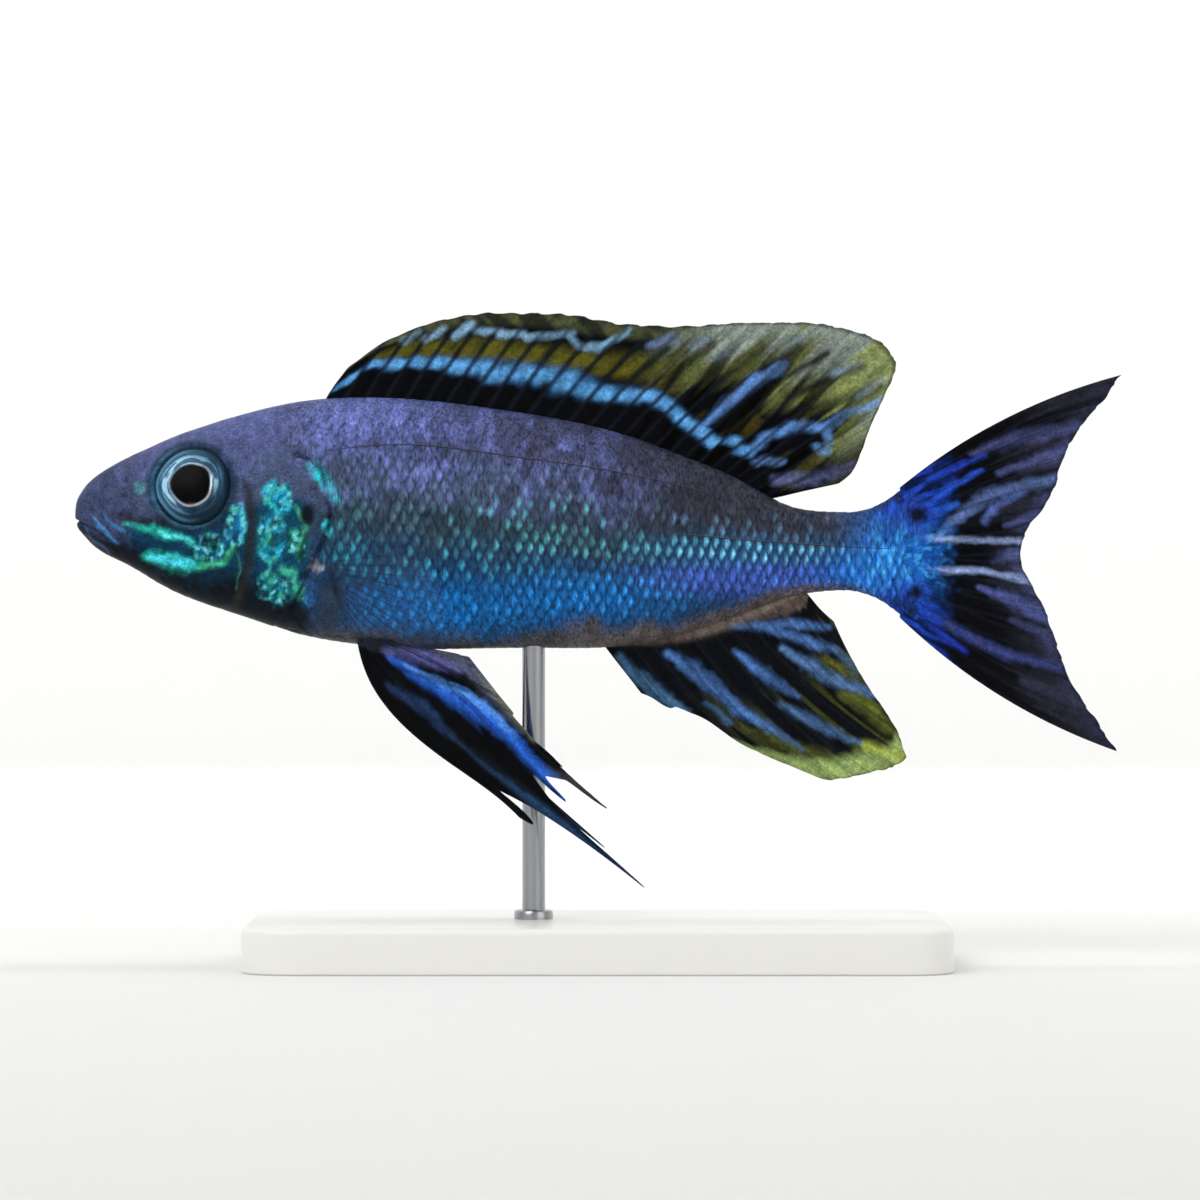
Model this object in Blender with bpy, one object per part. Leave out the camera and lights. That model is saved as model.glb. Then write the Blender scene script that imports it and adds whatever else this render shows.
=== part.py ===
"""A life-size featherfin cichlid on a plain display stand, as separate closed solids.

Sizes are in millimetres. Lengths along the fish are distances from the tip of the snout, and
heights are measured from the body's axis, a level line through the snout and the tail fork.
The fish faces -X, its left side faces -Y and +Z is up. The origin is on the underside of the base.
"""

import math

import bmesh
import bpy
import numpy as np

MM = 0.001
GAP = 0.3  # clearance between solids that touch
TOTAL_LENGTH = 183.4  # snout to the tip of the upper tail lobe
BASE_SIZE = (122.0, 62.0, 8.0)
FIN_CLEARANCE = 6.0  # lowest fin tip above the base
DEEPEST_FIN = 60.3  # lowest fin tip below the body's axis
AXIS_HEIGHT = BASE_SIZE[2] + FIN_CLEARANCE + DEEPEST_FIN
SNOUT_X = -TOTAL_LENGTH / 2

# Distance from the snout, height of the back, height of the belly, half of the body's width.
BODY = (
    (0.0, 5.2, 5.2, 0.0),
    (0.3, 6.9, 3.6, 1.5),
    (1.1, 8.5, 1.5, 2.7),
    (2.3, 10.1, -0.2, 3.6),
    (4.2, 11.7, -1.9, 4.5),
    (9.0, 14.5, -4.4, 6.0),
    (15.1, 17.2, -8.0, 7.3),
    (22.1, 19.9, -11.1, 8.4),
    (30.8, 22.6, -14.0, 9.4),
    (39.6, 24.5, -16.7, 10.2),
    (50.1, 25.2, -18.5, 10.5),
    (62.3, 24.6, -19.3, 10.4),
    (76.3, 22.8, -19.1, 9.8),
    (90.3, 20.3, -19.1, 8.7),
    (99.1, 17.8, -18.4, 7.6),
    (107.8, 14.5, -16.3, 6.4),
    (116.6, 10.8, -13.3, 5.1),
    (121.8, 7.8, -11.4, 4.3),
    (127.1, 5.7, -9.8, 3.6),
    (132.3, 5.2, -9.1, 3.0),
    (136.7, 5.2, -9.2, 2.5),
    (141.1, 6.6, -10.8, 1.9),
    (145.1, 9.3, -13.7, 1.4),
)
STEM_END = BODY[-1][0]
STEM_START = 129.0  # where the tail stem is parted from the torso
WAIST = 0.52  # share of the body's height at which it is widest
BACK_ROUNDNESS = 1.92  # exponent of the superellipse over the back
BELLY_ROUNDNESS = 2.12
RING_SIDES = 36

# The gill opening, from above the nape to below the throat. It parts the head from the torso.
GILL_OPENING = (
    (41.0, 34.0),
    (40.8, 24.0),
    (41.4, 17.0),
    (42.9, 12.4),
    (44.4, 7.6),
    (44.8, 3.0),
    (43.0, -1.6),
    (40.7, -6.2),
    (38.6, -10.6),
    (35.8, -14.4),
    (32.2, -18.0),
    (27.0, -24.0),
)
GILL_COVER_FRONT = ((30.9, 13.8), (31.6, 6.0), (31.4, -2.0), (30.2, -8.6), (28.4, -12.6))
GILL_COVER_BACK = ((33.0, -20.0), (44.0, -14.0), (50.0, 2.0), (48.0, 11.5), (41.5, 12.9), (36.0, 14.6))
GILL_COVER_THICKNESS = 1.4
GILL_FLARE = 0.75  # how far the rear edge of the gill cover stands proud
CHEEK_EDGE = ((29.6, 12.5), (30.6, 6.0), (30.4, -2.0), (29.0, -8.4), (26.0, -12.0), (20.0, -11.6))
CHEEK_RISE = 0.4

GAPE = ((-3.0, 4.4), (0.6, 3.2), (3.6, 1.9), (6.7, -0.3), (8.0, -2.6), (9.4, -5.6), (11.5, -10.0))
LIP_RISE = 0.5
LIP_OFFSET = 0.9
NOSTRIL = (9.4, 10.4)
NOSTRIL_RADIUS = 0.65

EYE_CENTRE = (21.3, 9.4)
EYE_RADIUS = 6.9
EYE_DEPTH = 2.4  # half of the eyeball's size along its own axis
EYE_BULGE = 1.4  # how far the eye stands out of the head
ORBIT_RIM = 0.4

# Fin rays: distance of the foot from the snout, then distance and height of the tip.
DORSAL_RAYS = (
    (44.1, 48.3, 30.4),
    (47.6, 54.5, 34.8),
    (54.6, 64.1, 38.5),
    (62.3, 73.2, 39.9),
    (72.8, 85.1, 39.7),
    (83.3, 97.7, 37.8),
    (90.3, 107.1, 37.5),
    (97.3, 117.5, 38.1),
    (104.3, 128.0, 38.2),
    (109.6, 135.8, 36.9),
    (113.4, 141.6, 34.6),
    (116.2, 144.0, 30.4),
    (118.3, 142.1, 25.5),
    (119.6, 139.7, 20.3),
    (120.5, 138.0, 15.8),
    (121.1, 136.2, 11.8),
    (121.5, 133.9, 9.9),
)
DORSAL_SPINES = (44.1, 90.3, 14)  # first foot, last foot, number
DORSAL_SOFT = (93.4, 121.5, 14)
DORSAL_BOW = 0.035  # how far a ray curves, as a share of its length
DORSAL_CROWDING = 1.35  # above 1 the soft rays stand closer towards the tail
ANAL_RAYS = (
    (92.6, 99.3, -26.8),
    (94.9, 103.9, -29.3),
    (97.2, 109.0, -30.7),
    (100.6, 117.4, -36.0),
    (104.0, 125.0, -39.4),
    (107.4, 132.6, -42.1),
    (110.6, 138.3, -41.2),
    (113.5, 142.8, -40.0),
    (116.2, 145.8, -38.3),
    (119.2, 144.4, -33.8),
    (122.0, 142.0, -29.8),
    (124.6, 138.8, -25.2),
    (126.5, 135.8, -20.0),
    (127.9, 133.0, -14.2),
)
ANAL_BOW = -0.04
TAIL_TIPS = (
    (183.4, 28.9),
    (181.0, 25.2),
    (177.8, 21.5),
    (175.2, 18.0),
    (173.3, 14.0),
    (172.0, 9.6),
    (169.8, 5.4),
    (166.6, 1.2),
    (165.8, -3.2),
    (167.6, -7.6),
    (170.0, -12.0),
    (171.7, -16.8),
    (173.5, -21.9),
    (176.1, -27.1),
    (179.2, -31.6),
    (182.9, -37.1),
)
TAIL_BOW = 0.055
TAIL_ROOT = (9.2, -13.6)  # highest and lowest foot of the tail fin
# Pelvic rays: distance and height of the tip, how far out it reaches, and the ray's bow.
PELVIC_RAYS = (
    (78.1, -48.3, 8.0, -0.1),
    (99.8, -60.3, 11.0, -0.035),
    (86.0, -45.2, 10.0, 0.065),
    (93.3, -46.6, 9.5, 0.07),
    (84.7, -38.5, 8.5, 0.06),
    (76.0, -28.8, 7.0, 0.03),
    (69.3, -20.4, 5.0, 0.0),
)
PELVIC_CLEFTS = (0.68, 0.72, 0.85, 0.84, 0.95, 1.0)  # how far the membrane reaches between rays
PELVIC_ROOT = ((49.7, 55.4), 3.4)  # distances of its ends, and its offset from the middle
PELVIC_BELLY = 1.2  # how far the fin bulges outwards
RIGHT_PELVIC_SIZE = 0.86  # the right fin is a little shorter, and hides behind the left one
PECTORAL_ROOT = ((44.6, -4.0), (46.0, -9.2))
PECTORAL_RAYS = 10
PECTORAL_LENGTHS = (17.0, 24.0, 26.5, 24.0, 19.0, 13.0)
PECTORAL_SPREAD = (6.0, -62.0)  # angle of the first and the last ray, below level
PECTORAL_OUTWARD = 47.0  # angle between the fin and the fish's side

MEMBRANE = 0.27  # half thicknesses
RAY_FOOT = 0.55
RAY_TIP = 0.3
ROOT_SHEATH = 0.45
SHEATH_LENGTH = 4.5
RAY_WIDTH = 0.24  # half of a ray's width, as a share of the ray spacing

ROD_DISTANCE = 80.5
ROD_RADIUS = 2.0
ROD_SIDES = 20


def clear_scene():
    for thing in list(bpy.data.objects):
        bpy.data.objects.remove(thing)


def material(name, colour, roughness, metallic=0.0):
    made = bpy.data.materials.new(name)
    made.use_nodes = True
    shader = made.node_tree.nodes["Principled BSDF"]
    shader.inputs["Base Color"].default_value = (*colour, 1.0)
    shader.inputs["Roughness"].default_value = roughness
    shader.inputs["Metallic"].default_value = metallic
    return made


def placed(points):
    """Distances, sideways offsets and heights in millimetres, as places in metres."""
    points = np.asarray(points, float)
    return (points + (SNOUT_X, 0.0, AXIS_HEIGHT)) * MM


def solid(name, points, faces):
    """One object from points in the fish's millimetres and faces that point outwards."""
    mesh = bpy.data.meshes.new(name)
    mesh.from_pydata([tuple(p) for p in placed(points)], [], [tuple(map(int, f)) for f in faces])
    made = bpy.data.objects.new(name, mesh)
    bpy.context.scene.collection.objects.link(made)
    return made


def natural_spline(knots, values):
    """A twice smooth curve through the values, as a function of the knots' parameter."""
    knots = np.asarray(knots, float)
    values = np.asarray(values, float)
    step = np.diff(knots)
    slope = np.diff(values) / step
    count = len(knots)
    system = np.eye(count)
    right = np.zeros(count)
    for i in range(1, count - 1):
        system[i, i - 1 : i + 2] = step[i - 1], 2 * (step[i - 1] + step[i]), step[i]
        right[i] = 6 * (slope[i] - slope[i - 1])
    bend = np.linalg.solve(system, right)

    def curve(t):
        i = np.clip(np.searchsorted(knots, t) - 1, 0, count - 2)
        a = (knots[i + 1] - t) / step[i]
        b = 1 - a
        cubic = ((a**3 - a) * bend[i] + (b**3 - b) * bend[i + 1]) * step[i] ** 2 / 6
        return a * values[i] + b * values[i + 1] + cubic

    return curve


def gentle_curve(knots, values):
    """A smooth curve through the values that never overshoots them."""
    knots = np.asarray(knots, float)
    values = np.asarray(values, float)
    step = np.diff(knots)
    slope = np.diff(values) / step
    tangent = np.concatenate([slope[:1], np.zeros(len(knots) - 2), slope[-1:]])
    for i in range(1, len(knots) - 1):
        if slope[i - 1] * slope[i] > 0:
            tangent[i] = 2 / (1 / slope[i - 1] + 1 / slope[i])

    def curve(t):
        i = np.clip(np.searchsorted(knots, t) - 1, 0, len(knots) - 2)
        s = (t - knots[i]) / step[i]
        inside = np.clip(s, 0, 1)
        left, right = (1 - inside) ** 2, inside**2
        cubic = values[i] * (1 + 2 * inside) * left + values[i + 1] * (3 - 2 * inside) * right
        cubic = cubic + step[i] * (tangent[i] * inside * left - tangent[i + 1] * (1 - inside) * right)
        beyond = s - inside
        return cubic + beyond * step[i] * np.where(beyond < 0, tangent[i], tangent[i + 1])

    return curve


def smooth_path(points, count):
    """A polyline of count points on a smooth curve through the given ones."""
    points = np.asarray(points, float)
    along = np.concatenate([[0.0], np.cumsum(np.linalg.norm(np.diff(points, axis=0), axis=1))])
    t = np.linspace(0, along[-1], count)
    return np.stack([natural_spline(along, column)(t) for column in points.T], axis=1)


class Body:
    """The fish's trunk: its outline and width along the length, and its sections."""

    def __init__(self):
        table = np.asarray(BODY, float)
        run = np.linalg.norm(np.diff(table[:, :3], axis=0), axis=1)
        self.knots = np.concatenate([[0.0], np.cumsum(run)])
        self.channels = [natural_spline(self.knots, column) for column in table.T]
        fine = np.linspace(0, self.knots[-1], 3000)
        self.fine = fine
        self.dense = np.stack([channel(fine) for channel in self.channels], axis=1)

    def section(self, distance):
        """Back height, belly height and half width at a distance from the snout."""
        return [np.interp(distance, self.dense[:, 0], self.dense[:, i]) for i in (1, 2, 3)]

    def side(self, distance, height):
        """Half of the body's width at a height."""
        back, belly, width = self.section(distance)
        waist = belly + WAIST * (back - belly)
        over = height > waist
        share = np.where(over, (height - waist) / (back - waist), (waist - height) / (waist - belly))
        power = np.where(over, BACK_ROUNDNESS, BELLY_ROUNDNESS)
        return width * (1 - np.clip(share, 0, 1) ** power) ** (1 / power)

    def surface(self, t, angle):
        """Points of the skin at parameter t, turned by angle from the back over the right side."""
        distance, back, belly, width = (channel(t) for channel in self.channels)
        width = np.maximum(width, 0)
        waist = belly + WAIST * (back - belly)
        up, out = np.cos(angle), np.sin(angle)
        power = np.where(up > 0, BACK_ROUNDNESS, BELLY_ROUNDNESS)
        reach = np.where(up > 0, back - waist, waist - belly)
        height = waist + np.sign(up) * reach * np.abs(up) ** (2 / power)
        side = np.sign(out) * width * np.abs(out) ** (2 / power)
        return np.stack(np.broadcast_arrays(distance, side, height), axis=-1)

    def underside(self, distance, offset):
        """Height of the belly's surface at an offset from the middle plane."""
        back, belly, width = self.section(distance)
        waist = belly + WAIST * (back - belly)
        return waist - (waist - belly) * (1 - (offset / width) ** BELLY_ROUNDNESS) ** (1 / BELLY_ROUNDNESS)

    def outward(self, distance, height, hand):
        """The unit normal of the body's side; hand is -1 on the left and 1 on the right."""
        small = 0.25
        along = (self.side(distance + small, height) - self.side(distance - small, height)) / (2 * small)
        upward = (self.side(distance, height + small) - self.side(distance, height - small)) / (2 * small)
        normal = np.array([-along, hand, -upward])
        return normal / np.linalg.norm(normal)


def distance_to_path(x, z, path):
    """How far points of the side view lie from a polyline, and on which side of it."""
    best = np.full(np.shape(x), 1e9)
    side = np.zeros(np.shape(x))
    for (ax, az), (bx, bz) in zip(path[:-1], path[1:]):
        run = np.array([bx - ax, bz - az])
        share = np.clip(((x - ax) * run[0] + (z - az) * run[1]) / (run @ run), 0, 1)
        gap = np.hypot(x - ax - share * run[0], z - az - share * run[1])
        nearer = gap < best
        best = np.where(nearer, gap, best)
        turn = run[0] * (z - az) - run[1] * (x - ax)
        side = np.where(nearer, np.sign(turn), side)
    return best, side


def bump(value, width):
    return np.exp(-((value / width) ** 2))


def head_relief(points, flared):
    """How far the head's forms stand out of the plain trunk, in millimetres."""
    x, z = points[..., 0], points[..., 2]
    gape, _ = distance_to_path(x, z, np.asarray(GAPE[1:4]))
    lips = LIP_RISE * bump(gape - LIP_OFFSET, 0.75)
    eye = np.hypot(x - EYE_CENTRE[0], z - EYE_CENTRE[1])
    rim = ORBIT_RIM * bump(eye - EYE_RADIUS - 0.9, 0.9)
    edge, side = distance_to_path(x, z, smooth_path(CHEEK_EDGE, 24))
    cheek = CHEEK_RISE * np.where(side < 0, np.exp(-edge / 5.0), bump(edge, 0.6))
    relief = lips + rim + cheek
    if flared:
        opening, _ = distance_to_path(x, z, smooth_path(GILL_OPENING[3:10], 24))
        relief = relief + GILL_FLARE * np.exp(-opening / 3.5)
    return relief


def ring_parameters(body):
    """Where the rings of the trunk lie: close on the head, wider on the flank."""
    knots = body.knots
    spacing = ((knots[1], 0.9), (knots[5], 1.2), (knots[9], 1.7), (knots[13], 5.6), (knots[-1], 3.7))
    rings = [0.0, 0.35, 0.9]
    for end, step in spacing:
        count = max(1, round((end - rings[-1]) / step))
        rings += list(np.linspace(rings[-1], end, count + 1)[1:])
    return np.array(sorted(set(rings)))


def trunk(name, body, flared):
    """The whole closed trunk, with the relief of the head."""
    rings = ring_parameters(body)[1:]
    angles = np.arange(RING_SIDES) * 2 * math.pi / RING_SIDES
    grid = body.surface(rings[:, None], angles[None, :])
    along = np.gradient(grid, axis=0)
    around = np.roll(grid, -1, axis=1) - np.roll(grid, 1, axis=1)
    normal = np.cross(around, along)
    normal /= np.maximum(np.linalg.norm(normal, axis=-1, keepdims=True), 1e-9)
    grid = grid + normal * head_relief(grid, flared)[..., None]
    nose = np.array(BODY[0][:1] + (0.0,) + BODY[0][1:2])
    rows, sides = grid.shape[:2]
    tail = grid[-1].mean(axis=0)
    points = np.concatenate([nose[None], grid.reshape(-1, 3), tail[None]])
    faces = []
    for k in range(sides):
        after = (k + 1) % sides
        faces.append((0, 1 + after, 1 + k))
        last = 1 + (rows - 1) * sides
        faces.append((last + k, last + after, len(points) - 1))
        for i in range(rows - 1):
            a, b = 1 + i * sides + k, 1 + i * sides + after
            faces.append((a, b, b + sides, a + sides))
    made = solid(name, points, faces)
    face_outwards(made)
    return made


def face_outwards(thing):
    work = bmesh.new()
    work.from_mesh(thing.data)
    bmesh.ops.triangulate(work, faces=work.faces)
    bmesh.ops.recalc_face_normals(work, faces=work.faces)
    work.to_mesh(thing.data)
    work.free()


def prism(name, outline, near, far):
    """A closed outline in the side view, drawn out sideways from near to far."""
    outline = np.asarray(outline, float)
    count = len(outline)
    sides = [np.insert(outline, 1, depth, axis=1) for depth in (near, far)]
    faces = [tuple(range(count)), tuple(range(2 * count - 1, count - 1, -1))]
    for k in range(count):
        after = (k + 1) % count
        faces.append((k, count + k, count + after, after))
    made = solid(name, np.concatenate(sides), faces)
    face_outwards(made)
    return made


def grown(outline, amount):
    """A closed outline moved outwards by an amount."""
    outline = np.asarray(outline, float)
    run = np.roll(outline, -1, axis=0) - np.roll(outline, 1, axis=0)
    normal = np.stack([run[:, 1], -run[:, 0]], axis=1) / np.linalg.norm(run, axis=1, keepdims=True)
    area = np.sum(outline[:, 0] * np.roll(outline[:, 1], -1) - outline[:, 1] * np.roll(outline[:, 0], -1))
    return outline + normal * amount * np.sign(area)


def evaluated_copy(thing):
    graph = bpy.context.evaluated_depsgraph_get()
    return bpy.data.meshes.new_from_object(thing.evaluated_get(graph))


def boolean(thing, tool, operation):
    """Applies one exact Boolean and removes the tool."""
    step = thing.modifiers.new(operation, "BOOLEAN")
    step.operation = operation
    step.solver = "EXACT"
    step.object = tool
    mesh = evaluated_copy(thing)
    thing.modifiers.clear()
    thing.data = mesh
    bpy.data.objects.remove(tool)
    return thing


def loose_parts(thing):
    """The closed surfaces of a mesh as lists of vertex numbers, largest volume first."""
    work = bmesh.new()
    work.from_mesh(thing.data)
    work.verts.ensure_lookup_table()
    seen, parts = set(), []
    for start in work.verts:
        if start.index in seen:
            continue
        seen.add(start.index)
        part, queue = [], [start]
        while queue:
            vertex = queue.pop()
            part.append(vertex.index)
            for edge in vertex.link_edges:
                other = edge.other_vert(vertex)
                if other.index not in seen:
                    seen.add(other.index)
                    queue.append(other)
        parts.append(part)
    size = {}
    for number, part in enumerate(parts):
        corners = np.array([work.verts[i].co for i in part])
        size[number] = np.prod(np.ptp(corners, axis=0))
    work.free()
    return [parts[n] for n in sorted(size, key=size.get, reverse=True)]


def keep_part(thing, keep):
    """Leaves only the vertices of one closed surface."""
    work = bmesh.new()
    work.from_mesh(thing.data)
    work.verts.ensure_lookup_table()
    wanted = set(keep)
    bmesh.ops.delete(work, geom=[v for v in work.verts if v.index not in wanted], context="VERTS")
    bmesh.ops.remove_doubles(work, verts=work.verts, dist=2e-6)
    bmesh.ops.triangulate(work, faces=work.faces)
    work.to_mesh(thing.data)
    work.free()
    return thing


def copy_of(thing, name):
    made = bpy.data.objects.new(name, thing.data.copy())
    bpy.context.scene.collection.objects.link(made)
    return made


def front_block(name, shift):
    """Everything ahead of the gill opening, moved back by shift."""
    edge = smooth_path(GILL_OPENING, 26) + (shift, 0)
    corners = [(-10.0, edge[-1][1]), (-10.0, edge[0][1])]
    return prism(name, np.concatenate([edge, corners]), -25.0, 25.0)


def gill_cover_slab(name, body, hand, grow):
    """A curved slab that follows the body's side, wider and deeper by grow, cut to the cover's outline."""
    distances = np.linspace(26.0, 52.0, 9)
    heights = np.linspace(-17.4, 17.0, 11)
    x, z = np.meshgrid(distances, heights, indexing="ij")
    low = body.section(x)[1] + 0.7
    side = body.side(x, np.maximum(z, low))
    inner = np.maximum(side - GILL_COVER_THICKNESS - grow, 1.2 - grow)
    outer = np.full_like(side, 18.0)
    points = np.concatenate([
        np.stack([x, hand * depth, z], axis=-1).reshape(-1, 3) for depth in (inner, outer)
    ])
    slab = solid(name, points, sheet_faces(*x.shape))
    face_outwards(slab)
    outline = np.concatenate([smooth_path(GILL_COVER_FRONT, 12), smooth_path(GILL_COVER_BACK, 18)])
    tool = prism("outline", grown(outline, grow), hand * -1.0, hand * 20.0)
    return boolean(slab, tool, "INTERSECT")


def sheet_faces(rows, columns):
    """Triangles of a closed thin sheet: two like grids of points, joined round their rim."""
    faces = []
    under = rows * columns
    for i in range(rows - 1):
        for j in range(columns - 1):
            a = i * columns + j
            b, c, d = a + 1, a + columns + 1, a + columns
            faces += [(a, b, c), (a, c, d)]
            faces += [(under + c, under + b, under + a), (under + d, under + c, under + a)]
    rim = [j for j in range(columns)]
    rim += [i * columns + columns - 1 for i in range(1, rows)]
    rim += [(rows - 1) * columns + j for j in range(columns - 2, -1, -1)]
    rim += [i * columns for i in range(rows - 2, 0, -1)]
    for k, a in enumerate(rim):
        b = rim[(k + 1) % len(rim)]
        faces += [(b, a, under + a), (b, under + a, under + b)]
    return faces


def eyeball(name, body, hand, grow):
    """A flattened ball that looks along the normal of the head at the eye."""
    normal = body.outward(*EYE_CENTRE, hand)
    surface = np.array([EYE_CENTRE[0], hand * body.side(*EYE_CENTRE), EYE_CENTRE[1]])
    centre = surface + normal * (EYE_BULGE - EYE_DEPTH)
    upward = np.cross(normal, (1.0, 0.0, 0.0))
    upward /= np.linalg.norm(upward)
    forward = np.cross(upward, normal)
    work = bmesh.new()
    bmesh.ops.create_uvsphere(work, u_segments=20, v_segments=8, radius=1.0)
    ball = np.array([v.co for v in work.verts])
    faces = [[v.index for v in face.verts] for face in work.faces]
    work.free()
    wide, deep = EYE_RADIUS + grow, EYE_DEPTH + grow
    points = centre + wide * (ball[:, :1] * forward + ball[:, 1:2] * upward) + deep * ball[:, 2:] * normal
    made = solid(name, points, faces)
    face_outwards(made)
    return made


def nostril(name, body, hand):
    surface = np.array([NOSTRIL[0], hand * body.side(*NOSTRIL), NOSTRIL[1]])
    work = bmesh.new()
    bmesh.ops.create_uvsphere(work, u_segments=10, v_segments=6, radius=1.0)
    ball = np.array([v.co for v in work.verts])
    faces = [[v.index for v in face.verts] for face in work.faces]
    work.free()
    made = solid(name, surface + ball * (1.4 * NOSTRIL_RADIUS, 1.1, NOSTRIL_RADIUS), faces)
    face_outwards(made)
    return made


def mouth_cutter(name):
    """A thin ribbon along the gape and down behind the chin."""
    path = smooth_path(GAPE, 16)
    run = np.gradient(path, axis=0)
    normal = np.stack([-run[:, 1], run[:, 0]], axis=1) / np.linalg.norm(run, axis=1, keepdims=True)
    outline = np.concatenate([path + normal * GAP / 2, (path - normal * GAP / 2)[::-1]])
    return prism(name, outline, -15.0, 15.0)


def build_head(body):
    """Head, lower jaw and gill covers, all cut from one flared trunk."""
    whole = trunk("head", body, True)
    head = boolean(whole, front_block("block", 0.0), "INTERSECT")
    sides = {"left": -1.0, "right": 1.0}
    covers = []
    for side, hand in sides.items():
        cover = gill_cover_slab("gill_cover_" + side, body, hand, 0.0)
        boolean(cover, copy_of(head, "flesh"), "INTERSECT")
        covers.append(keep_part(cover, loose_parts(cover)[0]))
    for side, hand in sides.items():
        boolean(head, gill_cover_slab("recess", body, hand, GAP), "DIFFERENCE")
        boolean(head, eyeball("socket", body, hand, GAP), "DIFFERENCE")
        boolean(head, nostril("nostril", body, hand), "DIFFERENCE")
    boolean(head, mouth_cutter("mouth"), "DIFFERENCE")
    parts = loose_parts(head)
    jaw = keep_part(copy_of(head, "lower_jaw"), parts[1])
    keep_part(head, parts[0])
    return [head, jaw, *covers]


def build_trunk_behind(body):
    """Torso and tail stem, parted by a thin upright cut."""
    torso = trunk("torso", body, False)
    stem = copy_of(torso, "tail_stem")
    boolean(torso, front_block("ahead", GAP), "DIFFERENCE")
    far = 200.0
    box = [(STEM_START, -60.0), (far, -60.0), (far, 60.0), (STEM_START, 60.0)]
    boolean(torso, prism("behind", box, -25.0, 25.0), "DIFFERENCE")
    box = [(-20.0, -60.0), (STEM_START + GAP, -60.0), (STEM_START + GAP, 60.0), (-20.0, 60.0)]
    boolean(stem, prism("before", box, -25.0, 25.0), "DIFFERENCE")
    return [keep_part(piece, loose_parts(piece)[0]) for piece in (torso, stem)]


def ray_columns(count, clefts=None):
    """Each ray's two edges and its crest, and a column between rays where the membrane is cleft."""
    columns = []
    for ray in range(count):
        columns += [(ray, side * RAY_WIDTH, 1.0) for side in (-1, 0, 1)]
        if clefts is not None and ray < count - 1:
            columns.append((ray + 0.5, 0.0, clefts[ray]))
    return columns


def fin(name, columns, point, rows, ray_foot=RAY_FOOT, narrowing=0.0):
    """A thin closed fin. point(ray, share) gives its middle surface; crests stand out as ridges."""
    shares = np.linspace(0, 1, rows)
    last = columns[-1][0]
    inward = {0: RAY_WIDTH, last: -RAY_WIDTH}  # the outermost rays lie inside the fin's edge

    def column_points(ray, offset, reach):
        for share in shares:
            place = offset + inward[ray] if ray in inward else offset
            yield point(ray + place * (1 - narrowing * share**2), share * reach)

    middle = np.array([list(column_points(*column)) for column in columns])
    length = np.linalg.norm(middle[:, -1] - middle[:, 0], axis=-1)[:, None]
    crest = np.array([offset == 0 and ray == round(ray) for ray, offset, _ in columns])[:, None]
    half = np.where(crest, ray_foot + (RAY_TIP - ray_foot) * shares, MEMBRANE)
    half = half + ROOT_SHEATH * np.clip(1 - shares * length / SHEATH_LENGTH, 0, 1)
    side_of = np.cross(np.gradient(middle, axis=0), np.gradient(middle, axis=1)).sum(axis=(0, 1))
    offset = side_of / np.linalg.norm(side_of) * half[..., None]
    points = np.concatenate([(middle + offset).reshape(-1, 3), (middle - offset).reshape(-1, 3)])
    made = solid(name, points, sheet_faces(*middle.shape[:2]))
    face_outwards(made)
    return made


def median_point(foot, tip, bow, wave):
    """Rays of a fin on the fish's middle plane, bowed by bow and waved sideways by wave."""

    def point(ray, share):
        a, b = foot(ray), tip(ray)
        run = b - a
        across = np.array([-run[1], run[0]])
        flat = a + run * share + across * bow(ray) * 4 * share * (1 - share)
        return np.array([flat[0], wave(ray) * share**2, flat[1]])

    return point


def build_dorsal(body):
    table = np.asarray(DORSAL_RAYS)
    tip_x, tip_z = gentle_curve(table[:, 0], table[:, 1]), gentle_curve(table[:, 0], table[:, 2])
    first, last, number = DORSAL_SOFT
    soft = first + (last - first) * (1 - (1 - np.linspace(0, 1, number)) ** DORSAL_CROWDING)
    feet = np.concatenate([np.linspace(*DORSAL_SPINES), soft])
    distance = gentle_curve(np.arange(len(feet)), feet)

    def foot(ray):
        d = distance(ray)
        return np.array([d, body.section(d)[0] + GAP])

    def tip(ray):
        d = distance(ray)
        return np.array([tip_x(d), tip_z(d)])

    count = len(feet)
    def bow(ray):
        return DORSAL_BOW * (1 - ray / count)

    point = median_point(foot, tip, bow, lambda ray: 0.9 * math.sin(ray * 0.42))
    return fin("dorsal_fin", ray_columns(count), point, 6)


def build_anal(body):
    table = np.asarray(ANAL_RAYS)
    rays = np.arange(len(table))
    distance, tip_x, tip_z = (gentle_curve(rays, column) for column in table.T)

    def foot(ray):
        d = distance(ray)
        return np.array([d, body.section(d)[1] - GAP])

    def tip(ray):
        return np.array([tip_x(ray), tip_z(ray)])

    def bow(ray):
        return ANAL_BOW * min(ray / 3, 1)

    point = median_point(foot, tip, bow, lambda ray: 0.8 * math.sin(ray * 0.6 + 0.5))
    return fin("anal_fin", ray_columns(len(table)), point, 7)


def build_tail_fin():
    table = np.asarray(TAIL_TIPS)
    last = len(table) - 1
    tip_x, tip_z = (gentle_curve(np.arange(last + 1), column) for column in table.T)

    def foot(ray):
        return np.array([STEM_END + GAP, TAIL_ROOT[0] + (TAIL_ROOT[1] - TAIL_ROOT[0]) * ray / last])

    def tip(ray):
        return np.array([tip_x(ray), tip_z(ray)])

    def bow(ray):
        return TAIL_BOW * (1 - 2 * ray / last)

    point = median_point(foot, tip, bow, lambda ray: 0.9 * math.sin(ray * 0.5))
    return fin("tail_fin", ray_columns(last + 1), point, 8, ray_foot=0.6)


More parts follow.
